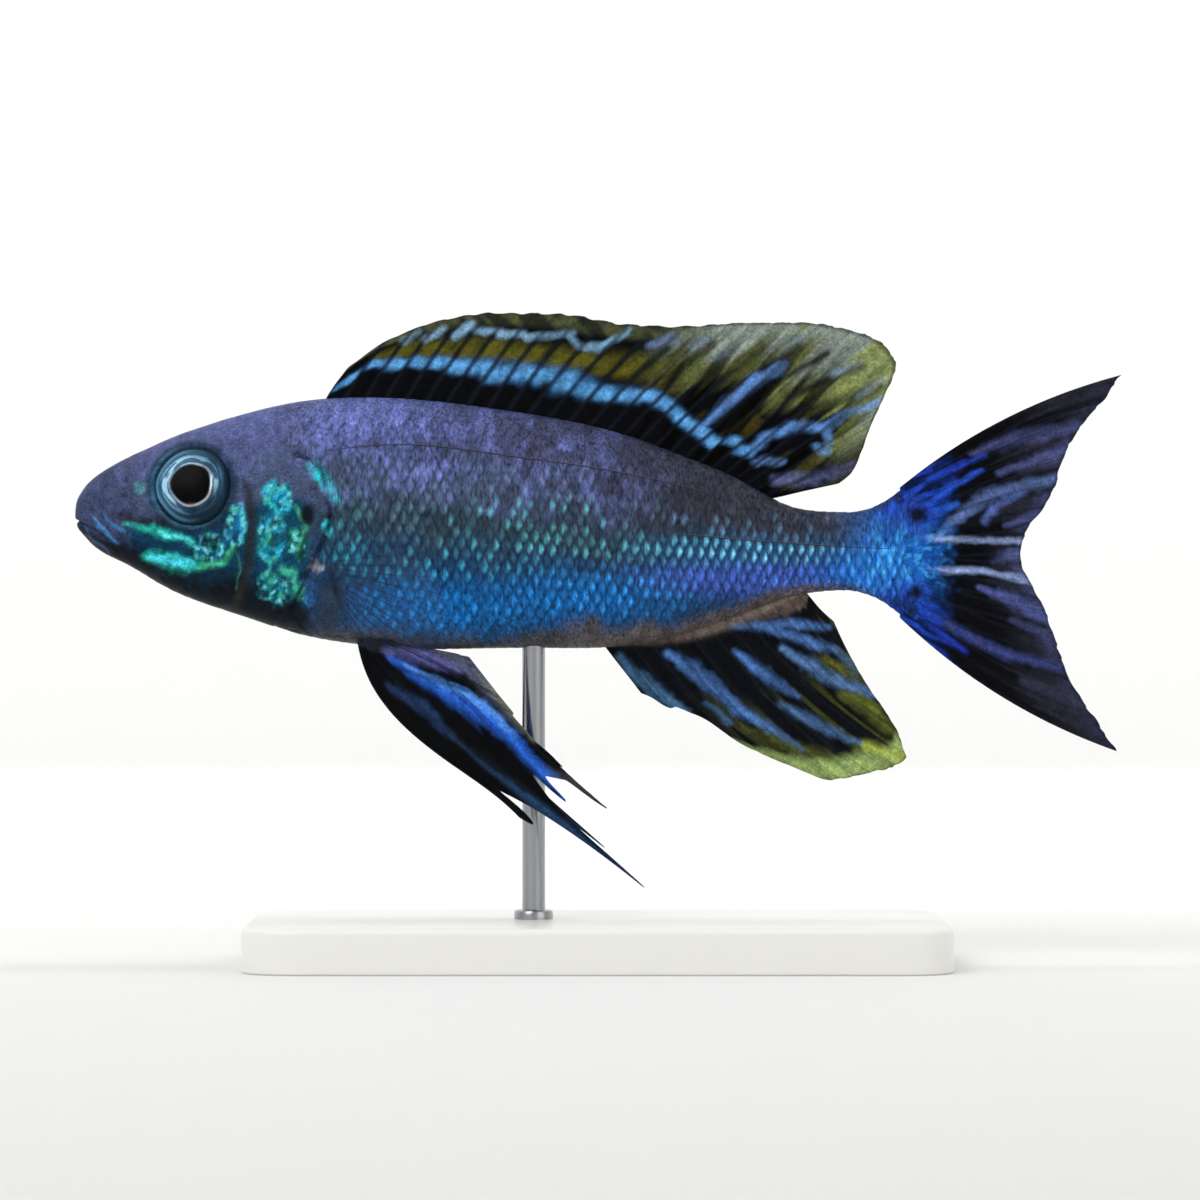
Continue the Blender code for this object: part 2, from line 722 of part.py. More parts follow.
def build_pelvic(name, body, hand, size):
    """A pelvic fin: a short root on the belly, and rays whose tips stand free."""
    table = np.asarray(PELVIC_RAYS)
    last = len(table) - 1
    (first, final), offset = PELVIC_ROOT
    tip_x, tip_z, tip_y, bow = (gentle_curve(np.arange(last + 1), column) for column in table.T)

    def foot(ray):
        d = first + (final - first) * ray / last
        return np.array([d, hand * offset, body.underside(d, offset) - 2 * GAP])

    def point(ray, share):
        a = foot(ray)
        run = size * (np.array([tip_x(ray), hand * tip_y(ray), tip_z(ray)]) - a)
        curve = np.array([-run[2] * bow(ray), hand * PELVIC_BELLY, run[0] * bow(ray)])
        return a + run * share + curve * 6.75 * share * (1 - share) ** 2

    return fin(name, ray_columns(last + 1, PELVIC_CLEFTS), point, 9, narrowing=0.5)


def build_pectoral(name, body, hand):
    """A small fan behind the gill cover, held away from the side."""
    count = PECTORAL_RAYS
    spread = np.radians(PECTORAL_SPREAD)
    length = gentle_curve(np.linspace(0, count - 1, len(PECTORAL_LENGTHS)), PECTORAL_LENGTHS)
    out = math.radians(PECTORAL_OUTWARD)
    (x0, z0), (x1, z1) = PECTORAL_ROOT

    def point(ray, share):
        place = ray / (count - 1)
        x, z = x0 + (x1 - x0) * place, z0 + (z1 - z0) * place
        root = np.array([x, hand * (body.side(x, z) + GAP + 0.75), z])
        turn = spread[0] + (spread[1] - spread[0]) * place
        lean = out - math.radians(13.0) * share
        level = math.cos(lean)
        way = np.array([math.cos(turn) * level, hand * math.sin(lean), math.sin(turn) * level])
        return root + way * length(ray) * share

    return fin(name, ray_columns(count), point, 5, ray_foot=0.42)


def build_stand(body):
    """A flat base with rounded corners, and a rod whose top is shaped to the belly."""
    work = bmesh.new()
    bmesh.ops.create_cube(work, size=1.0)
    for vertex in work.verts:
        vertex.co = [c * size * MM for c, size in zip(vertex.co, BASE_SIZE)]
        vertex.co.z += BASE_SIZE[2] * MM / 2
    upright = [e for e in work.edges if abs(e.verts[0].co.z - e.verts[1].co.z) > MM]
    bmesh.ops.bevel(work, geom=upright, offset=9 * MM, segments=6, profile=0.5, affect="EDGES")
    top = [e for e in work.edges if all(abs(v.co.z - BASE_SIZE[2] * MM) < MM / 100 for v in e.verts)]
    bmesh.ops.bevel(work, geom=top, offset=1.2 * MM, segments=2, profile=0.5, affect="EDGES")
    bmesh.ops.triangulate(work, faces=work.faces)
    bmesh.ops.recalc_face_normals(work, faces=work.faces)
    mesh = bpy.data.meshes.new("stand_base")
    work.to_mesh(mesh)
    work.free()
    base = bpy.data.objects.new("stand_base", mesh)
    bpy.context.scene.collection.objects.link(base)

    turns = np.arange(ROD_SIDES) * 2 * math.pi / ROD_SIDES
    x = ROD_DISTANCE + ROD_RADIUS * np.cos(turns)
    y = ROD_RADIUS * np.sin(turns)
    foot = np.stack([x, y, np.full_like(x, BASE_SIZE[2] + GAP - AXIS_HEIGHT)], axis=1)
    head = np.stack([x, y, body.underside(x, np.abs(y)) - GAP], axis=1)
    middle_low = np.array([ROD_DISTANCE, 0.0, foot[0, 2]])
    middle_high = np.array([ROD_DISTANCE, 0.0, body.section(ROD_DISTANCE)[1] - GAP])
    points = np.concatenate([foot, head, [middle_low, middle_high]])
    faces = []
    n = ROD_SIDES
    for k in range(n):
        after = (k + 1) % n
        faces += [(k, after, n + after), (k, n + after, n + k)]
        faces += [(after, k, 2 * n), (n + k, n + after, 2 * n + 1)]
    rod = solid("stand_rod", points, faces)
    face_outwards(rod)
    return [base, rod]


def finish(things, made):
    for thing in things:
        thing.data.materials.clear()
        thing.data.materials.append(made)
        thing.data.shade_smooth()
        thing.data.set_sharp_from_angle(angle=math.radians(50))


def main():
    clear_scene()
    body = Body()
    head, jaw, *covers = build_head(body)
    torso, stem = build_trunk_behind(body)
    skin = material("violet_grey_skin", (0.09, 0.09, 0.2), 0.35)
    flank = material("blue_flank", (0.02, 0.12, 0.42), 0.3)
    cheek = material("turquoise_cover", (0.01, 0.3, 0.36), 0.3)
    fin_dark = material("olive_blue_fin", (0.06, 0.09, 0.06), 0.4)
    fin_blue = material("blue_black_fin", (0.02, 0.05, 0.2), 0.4)
    clear_fin = material("smoky_fin", (0.2, 0.22, 0.25), 0.35)
    iris = material("pale_blue_iris", (0.3, 0.5, 0.65), 0.15)
    base_finish = material("white_stand", (0.85, 0.85, 0.83), 0.4)
    steel = material("steel_rod", (0.6, 0.6, 0.62), 0.25, 1.0)
    finish([head, jaw], skin)
    finish(covers, cheek)
    finish([torso, stem], flank)
    eyes = [eyeball("eye_" + side, body, hand, 0.0) for side, hand in (("left", -1.0), ("right", 1.0))]
    finish(eyes, iris)
    finish([build_dorsal(body), build_anal(body)], fin_dark)
    pelvics = [
        build_pelvic("pelvic_fin_left", body, -1.0, 1.0),
        build_pelvic("pelvic_fin_right", body, 1.0, RIGHT_PELVIC_SIZE),
    ]
    finish([build_tail_fin(), *pelvics], fin_blue)
    pectorals = [
        build_pectoral("pectoral_fin_left", body, -1.0),
        build_pectoral("pectoral_fin_right", body, 1.0),
    ]
    finish(pectorals, clear_fin)
    base, rod = build_stand(body)
    finish([base], base_finish)
    finish([rod], steel)


main()
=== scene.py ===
import math

import bpy
import numpy as np
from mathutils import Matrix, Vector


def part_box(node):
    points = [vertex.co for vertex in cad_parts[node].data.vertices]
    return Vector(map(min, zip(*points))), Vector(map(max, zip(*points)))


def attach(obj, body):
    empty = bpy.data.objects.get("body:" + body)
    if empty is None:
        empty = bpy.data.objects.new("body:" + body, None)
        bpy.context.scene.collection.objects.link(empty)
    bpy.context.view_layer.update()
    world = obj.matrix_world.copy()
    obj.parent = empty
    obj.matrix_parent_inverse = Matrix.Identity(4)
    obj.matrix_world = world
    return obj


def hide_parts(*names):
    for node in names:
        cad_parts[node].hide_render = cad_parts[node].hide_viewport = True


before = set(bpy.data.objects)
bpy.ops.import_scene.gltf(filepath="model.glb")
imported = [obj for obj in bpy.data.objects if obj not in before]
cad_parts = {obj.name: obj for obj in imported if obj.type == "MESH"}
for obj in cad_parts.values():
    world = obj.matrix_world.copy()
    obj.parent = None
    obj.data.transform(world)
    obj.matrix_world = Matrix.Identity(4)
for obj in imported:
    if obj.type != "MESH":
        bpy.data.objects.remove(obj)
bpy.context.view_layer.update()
mm = 0.001
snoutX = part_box("head")[0][0] / mm
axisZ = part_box("dorsal_fin")[1][2] / mm - 39.9  # the dorsal fin's top is 39.9 above the axis
baseLow, baseHigh = (np.array(corner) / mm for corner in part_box("stand_base"))
print("frame read: snout at", round(snoutX, 1), "axis at", round(axisZ, 1))


# Curves and masks

def splineThrough(knots, values):  # natural cubic: its second derivative is solved for, and is zero at both ends
    knots, values = np.asarray(knots, float), np.asarray(values, float)
    step = np.diff(knots)
    slope = np.diff(values) / step
    count = len(knots)
    system, right = np.eye(count), np.zeros(count)
    for i in range(1, count - 1):
        system[i, i - 1 : i + 2] = step[i - 1], 2 * (step[i - 1] + step[i]), step[i]
        right[i] = 6 * (slope[i] - slope[i - 1])
    bend = np.linalg.solve(system, right)

    def curve(t):
        i = np.clip(np.searchsorted(knots, t) - 1, 0, count - 2)
        a = (knots[i + 1] - t) / step[i]
        b = 1 - a
        cubic = ((a**3 - a) * bend[i] + (b**3 - b) * bend[i + 1]) * step[i] ** 2 / 6
        return a * values[i] + b * values[i + 1] + cubic

    return curve


def gentleThrough(knots, values):  # cubic Hermite whose tangents are harmonic means, so it never overshoots
    knots, values = np.asarray(knots, float), np.asarray(values, float)
    step = np.diff(knots)
    slope = np.diff(values) / step
    tangent = np.concatenate([slope[:1], np.zeros(len(knots) - 2), slope[-1:]])
    for i in range(1, len(knots) - 1):
        if slope[i - 1] * slope[i] > 0:
            tangent[i] = 2 / (1 / slope[i - 1] + 1 / slope[i])

    def curve(t):
        i = np.clip(np.searchsorted(knots, t) - 1, 0, len(knots) - 2)
        s = np.clip((t - knots[i]) / step[i], 0, 1)
        left, right = (1 - s) ** 2, s**2
        cubic = values[i] * (1 + 2 * s) * left + values[i + 1] * (3 - 2 * s) * right
        return cubic + step[i] * (tangent[i] * s * left - tangent[i + 1] * (1 - s) * right)

    return curve


def smoothPath(points, count=30):  # natural cubics through the points, by chord length
    points = np.asarray(points, float)
    along = np.concatenate([[0.0], np.cumsum(np.linalg.norm(np.diff(points, axis=0), axis=1))])
    t = np.linspace(0, along[-1], count)
    return np.stack([splineThrough(along, column)(t) for column in points.T], axis=1)


def smoothStep(low, high, value):  # 0 below low, 1 above high, 3s^2 - 2s^3 between
    s = np.clip((value - low) / (high - low), 0, 1)
    return s * s * (3 - 2 * s)


def bell(value, width):  # e^-(value/width)^2
    return np.exp(-((value / width) ** 2))


noiseTable = np.random.default_rng(11).random((256, 256))


def softNoise(x, y, size=1.0):  # random corner values on a square lattice, blended smoothly between corners
    x, y = np.asarray(x) / size + 600.0, np.asarray(y) / size + 600.0
    i, j = np.floor(x).astype(int), np.floor(y).astype(int)
    a, b = x - i, y - j
    a, b = a * a * (3 - 2 * a), b * b * (3 - 2 * b)
    i0, i1, j0, j1 = i % 256, (i + 1) % 256, j % 256, (j + 1) % 256
    low = noiseTable[i0, j0] * (1 - a) + noiseTable[i1, j0] * a
    high = noiseTable[i0, j1] * (1 - a) + noiseTable[i1, j1] * a
    return low * (1 - b) + high * b


def flecks(x, z, size, seed):  # two turned lattices added, so that no rows show
    one = softNoise(0.80 * x + 0.60 * z + seed, 0.80 * z - 0.60 * x, size)
    two = softNoise(0.34 * x - 0.94 * z + seed, 0.94 * x + 0.34 * z, size * 1.3)
    return 0.55 * one + 0.45 * two


def fromPath(x, z, path):  # least distance to a polyline, the side it is on and the share of the way along
    path = np.asarray(path, float)
    best, side, along = np.full(np.shape(x), 1e9), np.zeros(np.shape(x)), np.zeros(np.shape(x))
    count = len(path) - 1
    for k in range(count):
        (ax, az), run = path[k], path[k + 1] - path[k]
        share = np.clip(((x - ax) * run[0] + (z - az) * run[1]) / (run @ run), 0, 1)
        gap = np.hypot(x - ax - share * run[0], z - az - share * run[1])
        nearer = gap < best
        best = np.where(nearer, gap, best)
        side = np.where(nearer, np.sign(run[0] * (z - az) - run[1] * (x - ax)), side)
        along = np.where(nearer, (k + share) / count, along)
    return best, side, along


def streak(x, z, path, width, soft=1.0, swell=1.0):  # 1 along a polyline, fading to 0 at width from it
    gap, _, along = fromPath(x, z, path)
    width = np.interp(along, np.linspace(0, 1, np.size(width)), np.atleast_1d(width)) * swell  # widths change along it
    return 1 - smoothStep(width * (1 - soft), width, gap)


def blob(x, z, centre, radii, soft=0.6):  # 1 in an upright ellipse, fading to 0 at its edge
    reach = np.hypot((x - centre[0]) / radii[0], (z - centre[1]) / radii[1])
    return 1 - smoothStep(1 - soft, 1, reach)


def light(code):  # a colour code as linear light
    value = np.array([int(code[i : i + 2], 16) for i in (1, 3, 5)]) / 255
    return np.where(value < 0.04045, value / 12.92, ((value + 0.055) / 1.055) ** 2.4)


def paint(colour, mask, code, strength=1.0):  # blends a colour in where the mask is 1
    mask = np.clip(mask * strength, 0, 1)[..., None]
    return colour * (1 - mask) + light(code) * mask


def paintStreaks(colour, x, z, streaks, mottle=1.0, sway=0.0, swell=1.5):
    # each streak is a path, widths, a colour and a strength; sway bends them and noise frays their edges
    frayed = swell * (0.68 + 0.64 * flecks(x, z, 0.9, 12))
    x, z = x + sway * (softNoise(x, z, 1.8) - 0.5), z + sway * (softNoise(x + 50, z, 1.8) - 0.5)
    for path, width, code, strength in streaks:
        colour = paint(colour, streak(x, z, path, width, swell=frayed) * mottle, code, strength)
    return colour


# Meshes

def gridFaces(rows, columns, around=False):  # quads between neighbours of a grid, wrapped round if asked
    i = np.arange(rows - 1)[:, None] * columns
    j = np.arange(columns if around else columns - 1)[None, :]
    k = (j + 1) % columns
    return np.stack([i + j, i + columns + j, i + columns + k, i + k], axis=-1).reshape(-1, 4)


def tubeFaces(rows, columns, flip=False):  # quads round a tube, and fans to two poles that follow its points
    j = np.arange(columns)
    k = (j + 1) % columns
    pole, last = rows * columns, (rows - 1) * columns
    first = np.stack([np.full(columns, pole), j, k], axis=1)
    final = np.stack([np.full(columns, pole + 1), last + k, last + j], axis=1)
    quads, caps = gridFaces(rows, columns, around=True), np.concatenate([first, final])
    return (quads[:, ::-1], caps[:, ::-1]) if flip else (quads, caps)


def sheetFaces(rows, columns):  # quads of two like grids, one after the other, and of the rim between them
    top = gridFaces(rows, columns)
    under = top[:, ::-1] + rows * columns
    rim = np.concatenate([
        np.arange(columns),
        np.arange(1, rows) * columns + columns - 1,
        (rows - 1) * columns + np.arange(columns - 2, -1, -1),
        np.arange(rows - 2, 0, -1) * columns,
    ])
    after = np.roll(rim, -1)
    edge = np.stack([rim, after, after + rows * columns, rim + rows * columns], axis=1)
    return np.concatenate([top, under, edge])


def sweptTubes(line, radius, sides):
    # round tubes along a stack of lines, closed at both ends: their points, quads, caps and upward shares
    run = np.gradient(line, axis=1)
    run /= np.linalg.norm(run, axis=-1, keepdims=True)
    side = np.cross(run, (0.0, 1.0, 0.0))
    side /= np.linalg.norm(side, axis=-1, keepdims=True)
    rise = np.cross(run, side)
    turn = (np.arange(sides) * 2 * math.pi / sides)[None, None, :, None]
    out = side[:, :, None] * np.cos(turn) + rise[:, :, None] * np.sin(turn)
    grid = line[:, :, None] + (radius + 0 * line[..., 0])[..., None, None] * out
    count, rows = line.shape[:2]
    tubes = np.concatenate([grid.reshape(count, -1, 3), line[:, :1], line[:, -1:]], axis=1)
    upward = np.concatenate([out[..., 2].reshape(count, -1), np.zeros((count, 2))], axis=1)
    quads, caps = tubeFaces(rows, sides, flip=True)
    step = (np.arange(count) * tubes.shape[1])[:, None, None]
    return tubes, quads[None] + step, caps[None] + step, upward


def makePiece(name, points, quads, triangles, colour, material, maps=None, smooth=True):
    # points are in the fish's own millimetres, and maps are one UV pair per face corner
    mesh = bpy.data.meshes.new(name)
    place = (np.asarray(points).reshape(-1, 3) + (snoutX, 0, axisZ)) * mm
    quads, triangles = np.asarray(quads, int).reshape(-1, 4), np.asarray(triangles, int).reshape(-1, 3)
    corners = np.concatenate([quads.ravel(), triangles.ravel()])
    sizes = np.concatenate([np.full(len(quads), 4), np.full(len(triangles), 3)])
    mesh.vertices.add(len(place))
    mesh.vertices.foreach_set("co", place.ravel())
    mesh.loops.add(len(corners))
    mesh.loops.foreach_set("vertex_index", corners)
    mesh.polygons.add(len(sizes))
    mesh.polygons.foreach_set("loop_start", np.concatenate([[0], np.cumsum(sizes)[:-1]]))
    mesh.polygons.foreach_set("loop_total", sizes)
    mesh.update(calc_edges=True)
    mesh.validate()
    for title, values in (maps or {}).items():
        layer = mesh.uv_layers.new(name=title)
        layer.data.foreach_set("uv", np.asarray(values, float).ravel())
    if colour is not None:
        tint = mesh.color_attributes.new("tint", "FLOAT_COLOR", "POINT")
        shades = np.ones((len(place), 4))
        shades[:, :3] = np.clip(np.asarray(colour).reshape(-1, 3), 0, 1)
        tint.data.foreach_set("color", shades.ravel())
    mesh.materials.append(material)
    if smooth:
        mesh.shade_smooth()
    piece = bpy.data.objects.new(name, mesh)
    bpy.context.scene.collection.objects.link(piece)
    return piece


def finishMaterial(name, looks):
    # base colour from the piece's own tint, shaded by a fine noise that also gives the bump
    material = bpy.data.materials.new(name)
    material.use_nodes = True
    nodes, links = material.node_tree.nodes, material.node_tree.links
    shader = nodes["Principled BSDF"]
    for socket, value in looks["shader"].items():
        shader.inputs[socket].default_value = value
    if "colour" in looks:
        shader.inputs["Base Color"].default_value = (*light(looks["colour"]), 1)
        return material
    tint = nodes.new("ShaderNodeAttribute")
    tint.attribute_name = "tint"
    place = nodes.new("ShaderNodeTexCoord")
    grain = nodes.new("ShaderNodeTexNoise")
    grain.inputs["Scale"].default_value = looks["grain"]
    grain.inputs["Detail"].default_value = 3.0
    grain.inputs["Distortion"].default_value = 0.4
    level = nodes.new("ShaderNodeMapRange")
    level.inputs["From Min"].default_value = 0.25
    level.inputs["From Max"].default_value = 0.75
    level.inputs["To Min"].default_value = 1 - looks["shade"]
    level.inputs["To Max"].default_value = 1 + looks["shade"]
    scaled = nodes.new("ShaderNodeVectorMath")
    scaled.operation = "SCALE"
    drawn = nodes.new("ShaderNodeMapping")
    drawn.inputs["Scale"].default_value = looks.get("stretch", (1, 1, 1))
    links.new(place.outputs["Object"], drawn.inputs["Vector"])
    links.new(drawn.outputs["Vector"], grain.inputs["Vector"])
    links.new(grain.outputs["Fac"], level.inputs["Value"])
    links.new(tint.outputs["Color"], scaled.inputs[0])
    links.new(level.outputs["Result"], scaled.inputs["Scale"])
    links.new(scaled.outputs["Vector"], shader.inputs["Base Color"])
    bump = nodes.new("ShaderNodeBump")
    bump.inputs["Strength"].default_value = looks["bump"]
    bump.inputs["Distance"].default_value = 0.0002
    links.new(grain.outputs["Fac"], bump.inputs["Height"])
    links.new(bump.outputs["Normal"], shader.inputs["Normal"])
    return material


# Trunk: stations are distance, back, belly and half width

trunk = {
    "stations": (
        (0.0, 5.2, 5.2, 0.0), (0.3, 6.9, 3.6, 1.5), (1.1, 8.5, 1.5, 2.7), (2.3, 10.1, -0.2, 3.6),
        (4.2, 11.7, -1.9, 4.5), (9.0, 14.5, -4.4, 6.0), (15.1, 17.2, -8.0, 7.3), (22.1, 19.9, -11.1, 8.4),
        (30.8, 22.6, -14.0, 9.4), (39.6, 24.5, -16.7, 10.2), (50.1, 25.2, -18.5, 10.5),
        (62.3, 24.6, -19.3, 10.4), (76.3, 22.8, -19.1, 9.8), (90.3, 20.3, -19.1, 8.7),
        (99.1, 17.8, -18.4, 7.6), (107.8, 14.5, -16.3, 6.4), (116.6, 10.8, -13.3, 5.1),
        (121.8, 7.8, -11.4, 4.3), (127.1, 5.7, -9.8, 3.6), (132.3, 5.2, -9.1, 3.0),
        (136.7, 5.2, -9.2, 2.5), (141.1, 6.6, -10.8, 1.9), (145.1, 9.3, -13.7, 1.4), (148.8, 11.3, -16.1, 0.55),
    ),
    "waist": 0.52,
    "backRoundness": 1.92,
    "bellyRoundness": 2.12,
    "coatDepth": 0.28,
}
stations = np.array(trunk["stations"])
trunkKnots = np.concatenate([[0.0], np.cumsum(np.linalg.norm(np.diff(stations[:, :3], axis=0), axis=1))])
trunkCurves = [splineThrough(trunkKnots, column) for column in stations.T]
trunkDense = np.stack([curve(np.linspace(0, trunkKnots[-1], 4000)) for curve in trunkCurves], axis=1)


def section(d):  # back, belly and half width at a distance from the snout
    return [np.interp(d, trunkDense[:, 0], trunkDense[:, i]) for i in (1, 2, 3)]


def sectionPoint(d, back, belly, width, angle):
    # superellipse: height = waist + reach cos^(2/p), side = width sin^(2/p), angle from the back to the right
    waist = belly + trunk["waist"] * (back - belly)
    up, out = np.cos(angle), np.sin(angle)
    power = np.where(up > 0, trunk["backRoundness"], trunk["bellyRoundness"])
    reach = np.where(up > 0, back - waist, waist - belly)
    height = waist + np.sign(up) * reach * np.abs(up) ** (2 / power)
    side = np.sign(out) * np.maximum(width, 0) * np.abs(out) ** (2 / power)
    return np.stack(np.broadcast_arrays(d, side, height), axis=-1)


def trunkPoint(t, angle):
    return sectionPoint(*(curve(t) for curve in trunkCurves), angle)


def flankPoint(d, angle):
    return sectionPoint(d, *section(d), angle)


def sideWidth(d, h):  # half of the body's width at a height
    back, belly, width = section(d)
    waist = belly + trunk["waist"] * (back - belly)
    over = h > waist
    share = np.where(over, (h - waist) / (back - waist), (waist - h) / (waist - belly))
    power = np.where(over, trunk["backRoundness"], trunk["bellyRoundness"])
    return width * (1 - np.clip(share, 0, 1) ** power) ** (1 / power)


# Head forms, all in the side view

head = {
    "gape": ((-0.6, 3.5), (0.6, 3.2), (3.6, 1.9), (6.7, -0.3)),
    "gapeDepth": 0.5,
    "gapeWidth": 0.22,
    "jawFold": ((6.7, -0.3), (8.2, -2.4), (9.3, -4.4)),
    "lipRise": 0.3,
    "upperJawFold": ((2.6, 5.2), (6.0, 3.4), (8.6, 0.6), (8.9, -1.2)),
    "nostril": (9.4, 10.4),
    "eye": (21.3, 9.4),
    "eyeRadius": 6.9,
    "eyeDepth": 2.4,
    "eyeBulge": 1.4,
    "cheekEdge": ((29.6, 12.5), (30.6, 6.0), (30.4, -2.0), (29.0, -8.4), (26.0, -12.0), (20.0, -11.6)),
    "coverEdge": ((39.4, 14.4), (42.9, 12.4), (44.4, 7.6), (44.8, 3.0), (43.0, -1.6), (40.7, -6.2), (38.6, -10.6),
                  (35.8, -14.4), (32.2, -17.4)),
    "coverFlare": 0.7,
    "coverSeam": ((31.8, -4.6), (35.0, -6.9), (39.6, -8.6)),
    "pores": ((14.6, 4.2), (17.2, 2.0), (20.4, 0.9), (23.8, 1.0), (26.9, 2.8), (12.6, -4.0), (15.8, -6.6), (20.2, -8.6),
              (24.8, -9.2), (28.0, -5.8), (29.3, -0.6), (29.4, 4.6), (12.6, 12.6), (17.4, 16.6), (26.4, 18.6)),
    "wrinkle": 0.13,
}
cheekPath = smoothPath(head["cheekEdge"])
coverPath = smoothPath(head["coverEdge"])


def headRelief(p):  # bells and steps by distance from each form's line
    x, z = p[..., 0], p[..., 2]
    front = x < 52
    relief = np.zeros(x.shape)
    px, pz = x[front], z[front]
    back, belly, _ = section(px)
    clear = 0.12 + 0.88 * smoothStep(0.04, 0.24, (pz - belly) / np.maximum(back - belly, 1))  # flatter at the throat
    gape, _, _ = fromPath(px, pz, head["gape"])
    rise = head["lipRise"] * (bell(gape - 0.95, 0.7) + 0.25 * bell(gape - 0.4, 0.3))
    rise -= head["gapeDepth"] * bell(gape, head["gapeWidth"])
    rise -= 0.25 * clear * bell(fromPath(px, pz, head["jawFold"])[0], 0.3)
    fold, foldSide, _ = fromPath(px, pz, head["upperJawFold"])
    rise += 0.2 * np.where(foldSide < 0, np.exp(-fold / 1.4), 0) - 0.18 * bell(fold, 0.25)
    nose = np.hypot(px - head["nostril"][0], pz - head["nostril"][1])
    rise += 0.12 * bell(nose - 0.85, 0.35) - 0.4 * bell(nose, 0.4)
    for poreX, poreZ in head["pores"]:
        rise -= 0.22 * bell(np.hypot(px - poreX, pz - poreZ), 0.33)
    eye = np.hypot(px - head["eye"][0], pz - head["eye"][1])
    radius = head["eyeRadius"]
    rise += 0.32 * bell(eye - radius - 0.75, 0.7) + 0.14 * bell(eye - radius - 2.6, 0.8)
    rise -= 2.6 * (1 - smoothStep(radius - 1.0, radius - 0.15, eye))
    cheek, cheekSide, _ = fromPath(px, pz, cheekPath)
    rise += clear * (0.4 * np.where(cheekSide < 0, np.exp(-cheek / 4.5), 0) - 0.2 * bell(cheek - 0.25, 0.35))
    cover, coverSide, _ = fromPath(px, pz, coverPath)
    ahead = coverSide < 0
    rise += head["coverFlare"] * clear * np.where(ahead, np.exp(-cover / 3.5), 0)
    rise -= clear * np.where(ahead, 0, 0.5 * bell(cover - 0.35, 0.5))
    rise -= 0.2 * bell(fromPath(px, pz, head["coverSeam"])[0], 0.35)
    creases = np.abs(softNoise(px, pz, 1.3) - 0.5) + 0.5 * softNoise(px + 9, pz, 0.6)
    cheeks = ahead * smoothStep(9, 14, px) * smoothStep(-14, -9, pz) * (1 - smoothStep(8, 14, pz))
    rise += head["wrinkle"] * (creases - 0.5) * cheeks + 0.03 * (softNoise(px, pz, 0.7) - 0.5)
    relief[front] = rise * smoothStep(0.0, 0.8, px + 0.2)
    return relief


def lifted(pointAt, along, angle, lift):  # the point pushed out along the surface's normal
    place = pointAt(along, angle)
    forward = pointAt(along + 0.05, angle) - pointAt(along - 0.05, angle)
    around = pointAt(along, angle + 0.01) - pointAt(along, angle - 0.01)
    normal = np.cross(forward, around)
    normal /= np.maximum(np.linalg.norm(normal, axis=-1, keepdims=True), 1e-9)
    return place + normal * (headRelief(place) + lift - trunk["coatDepth"])[..., None]


# Markings of skin and scales, the same function for both

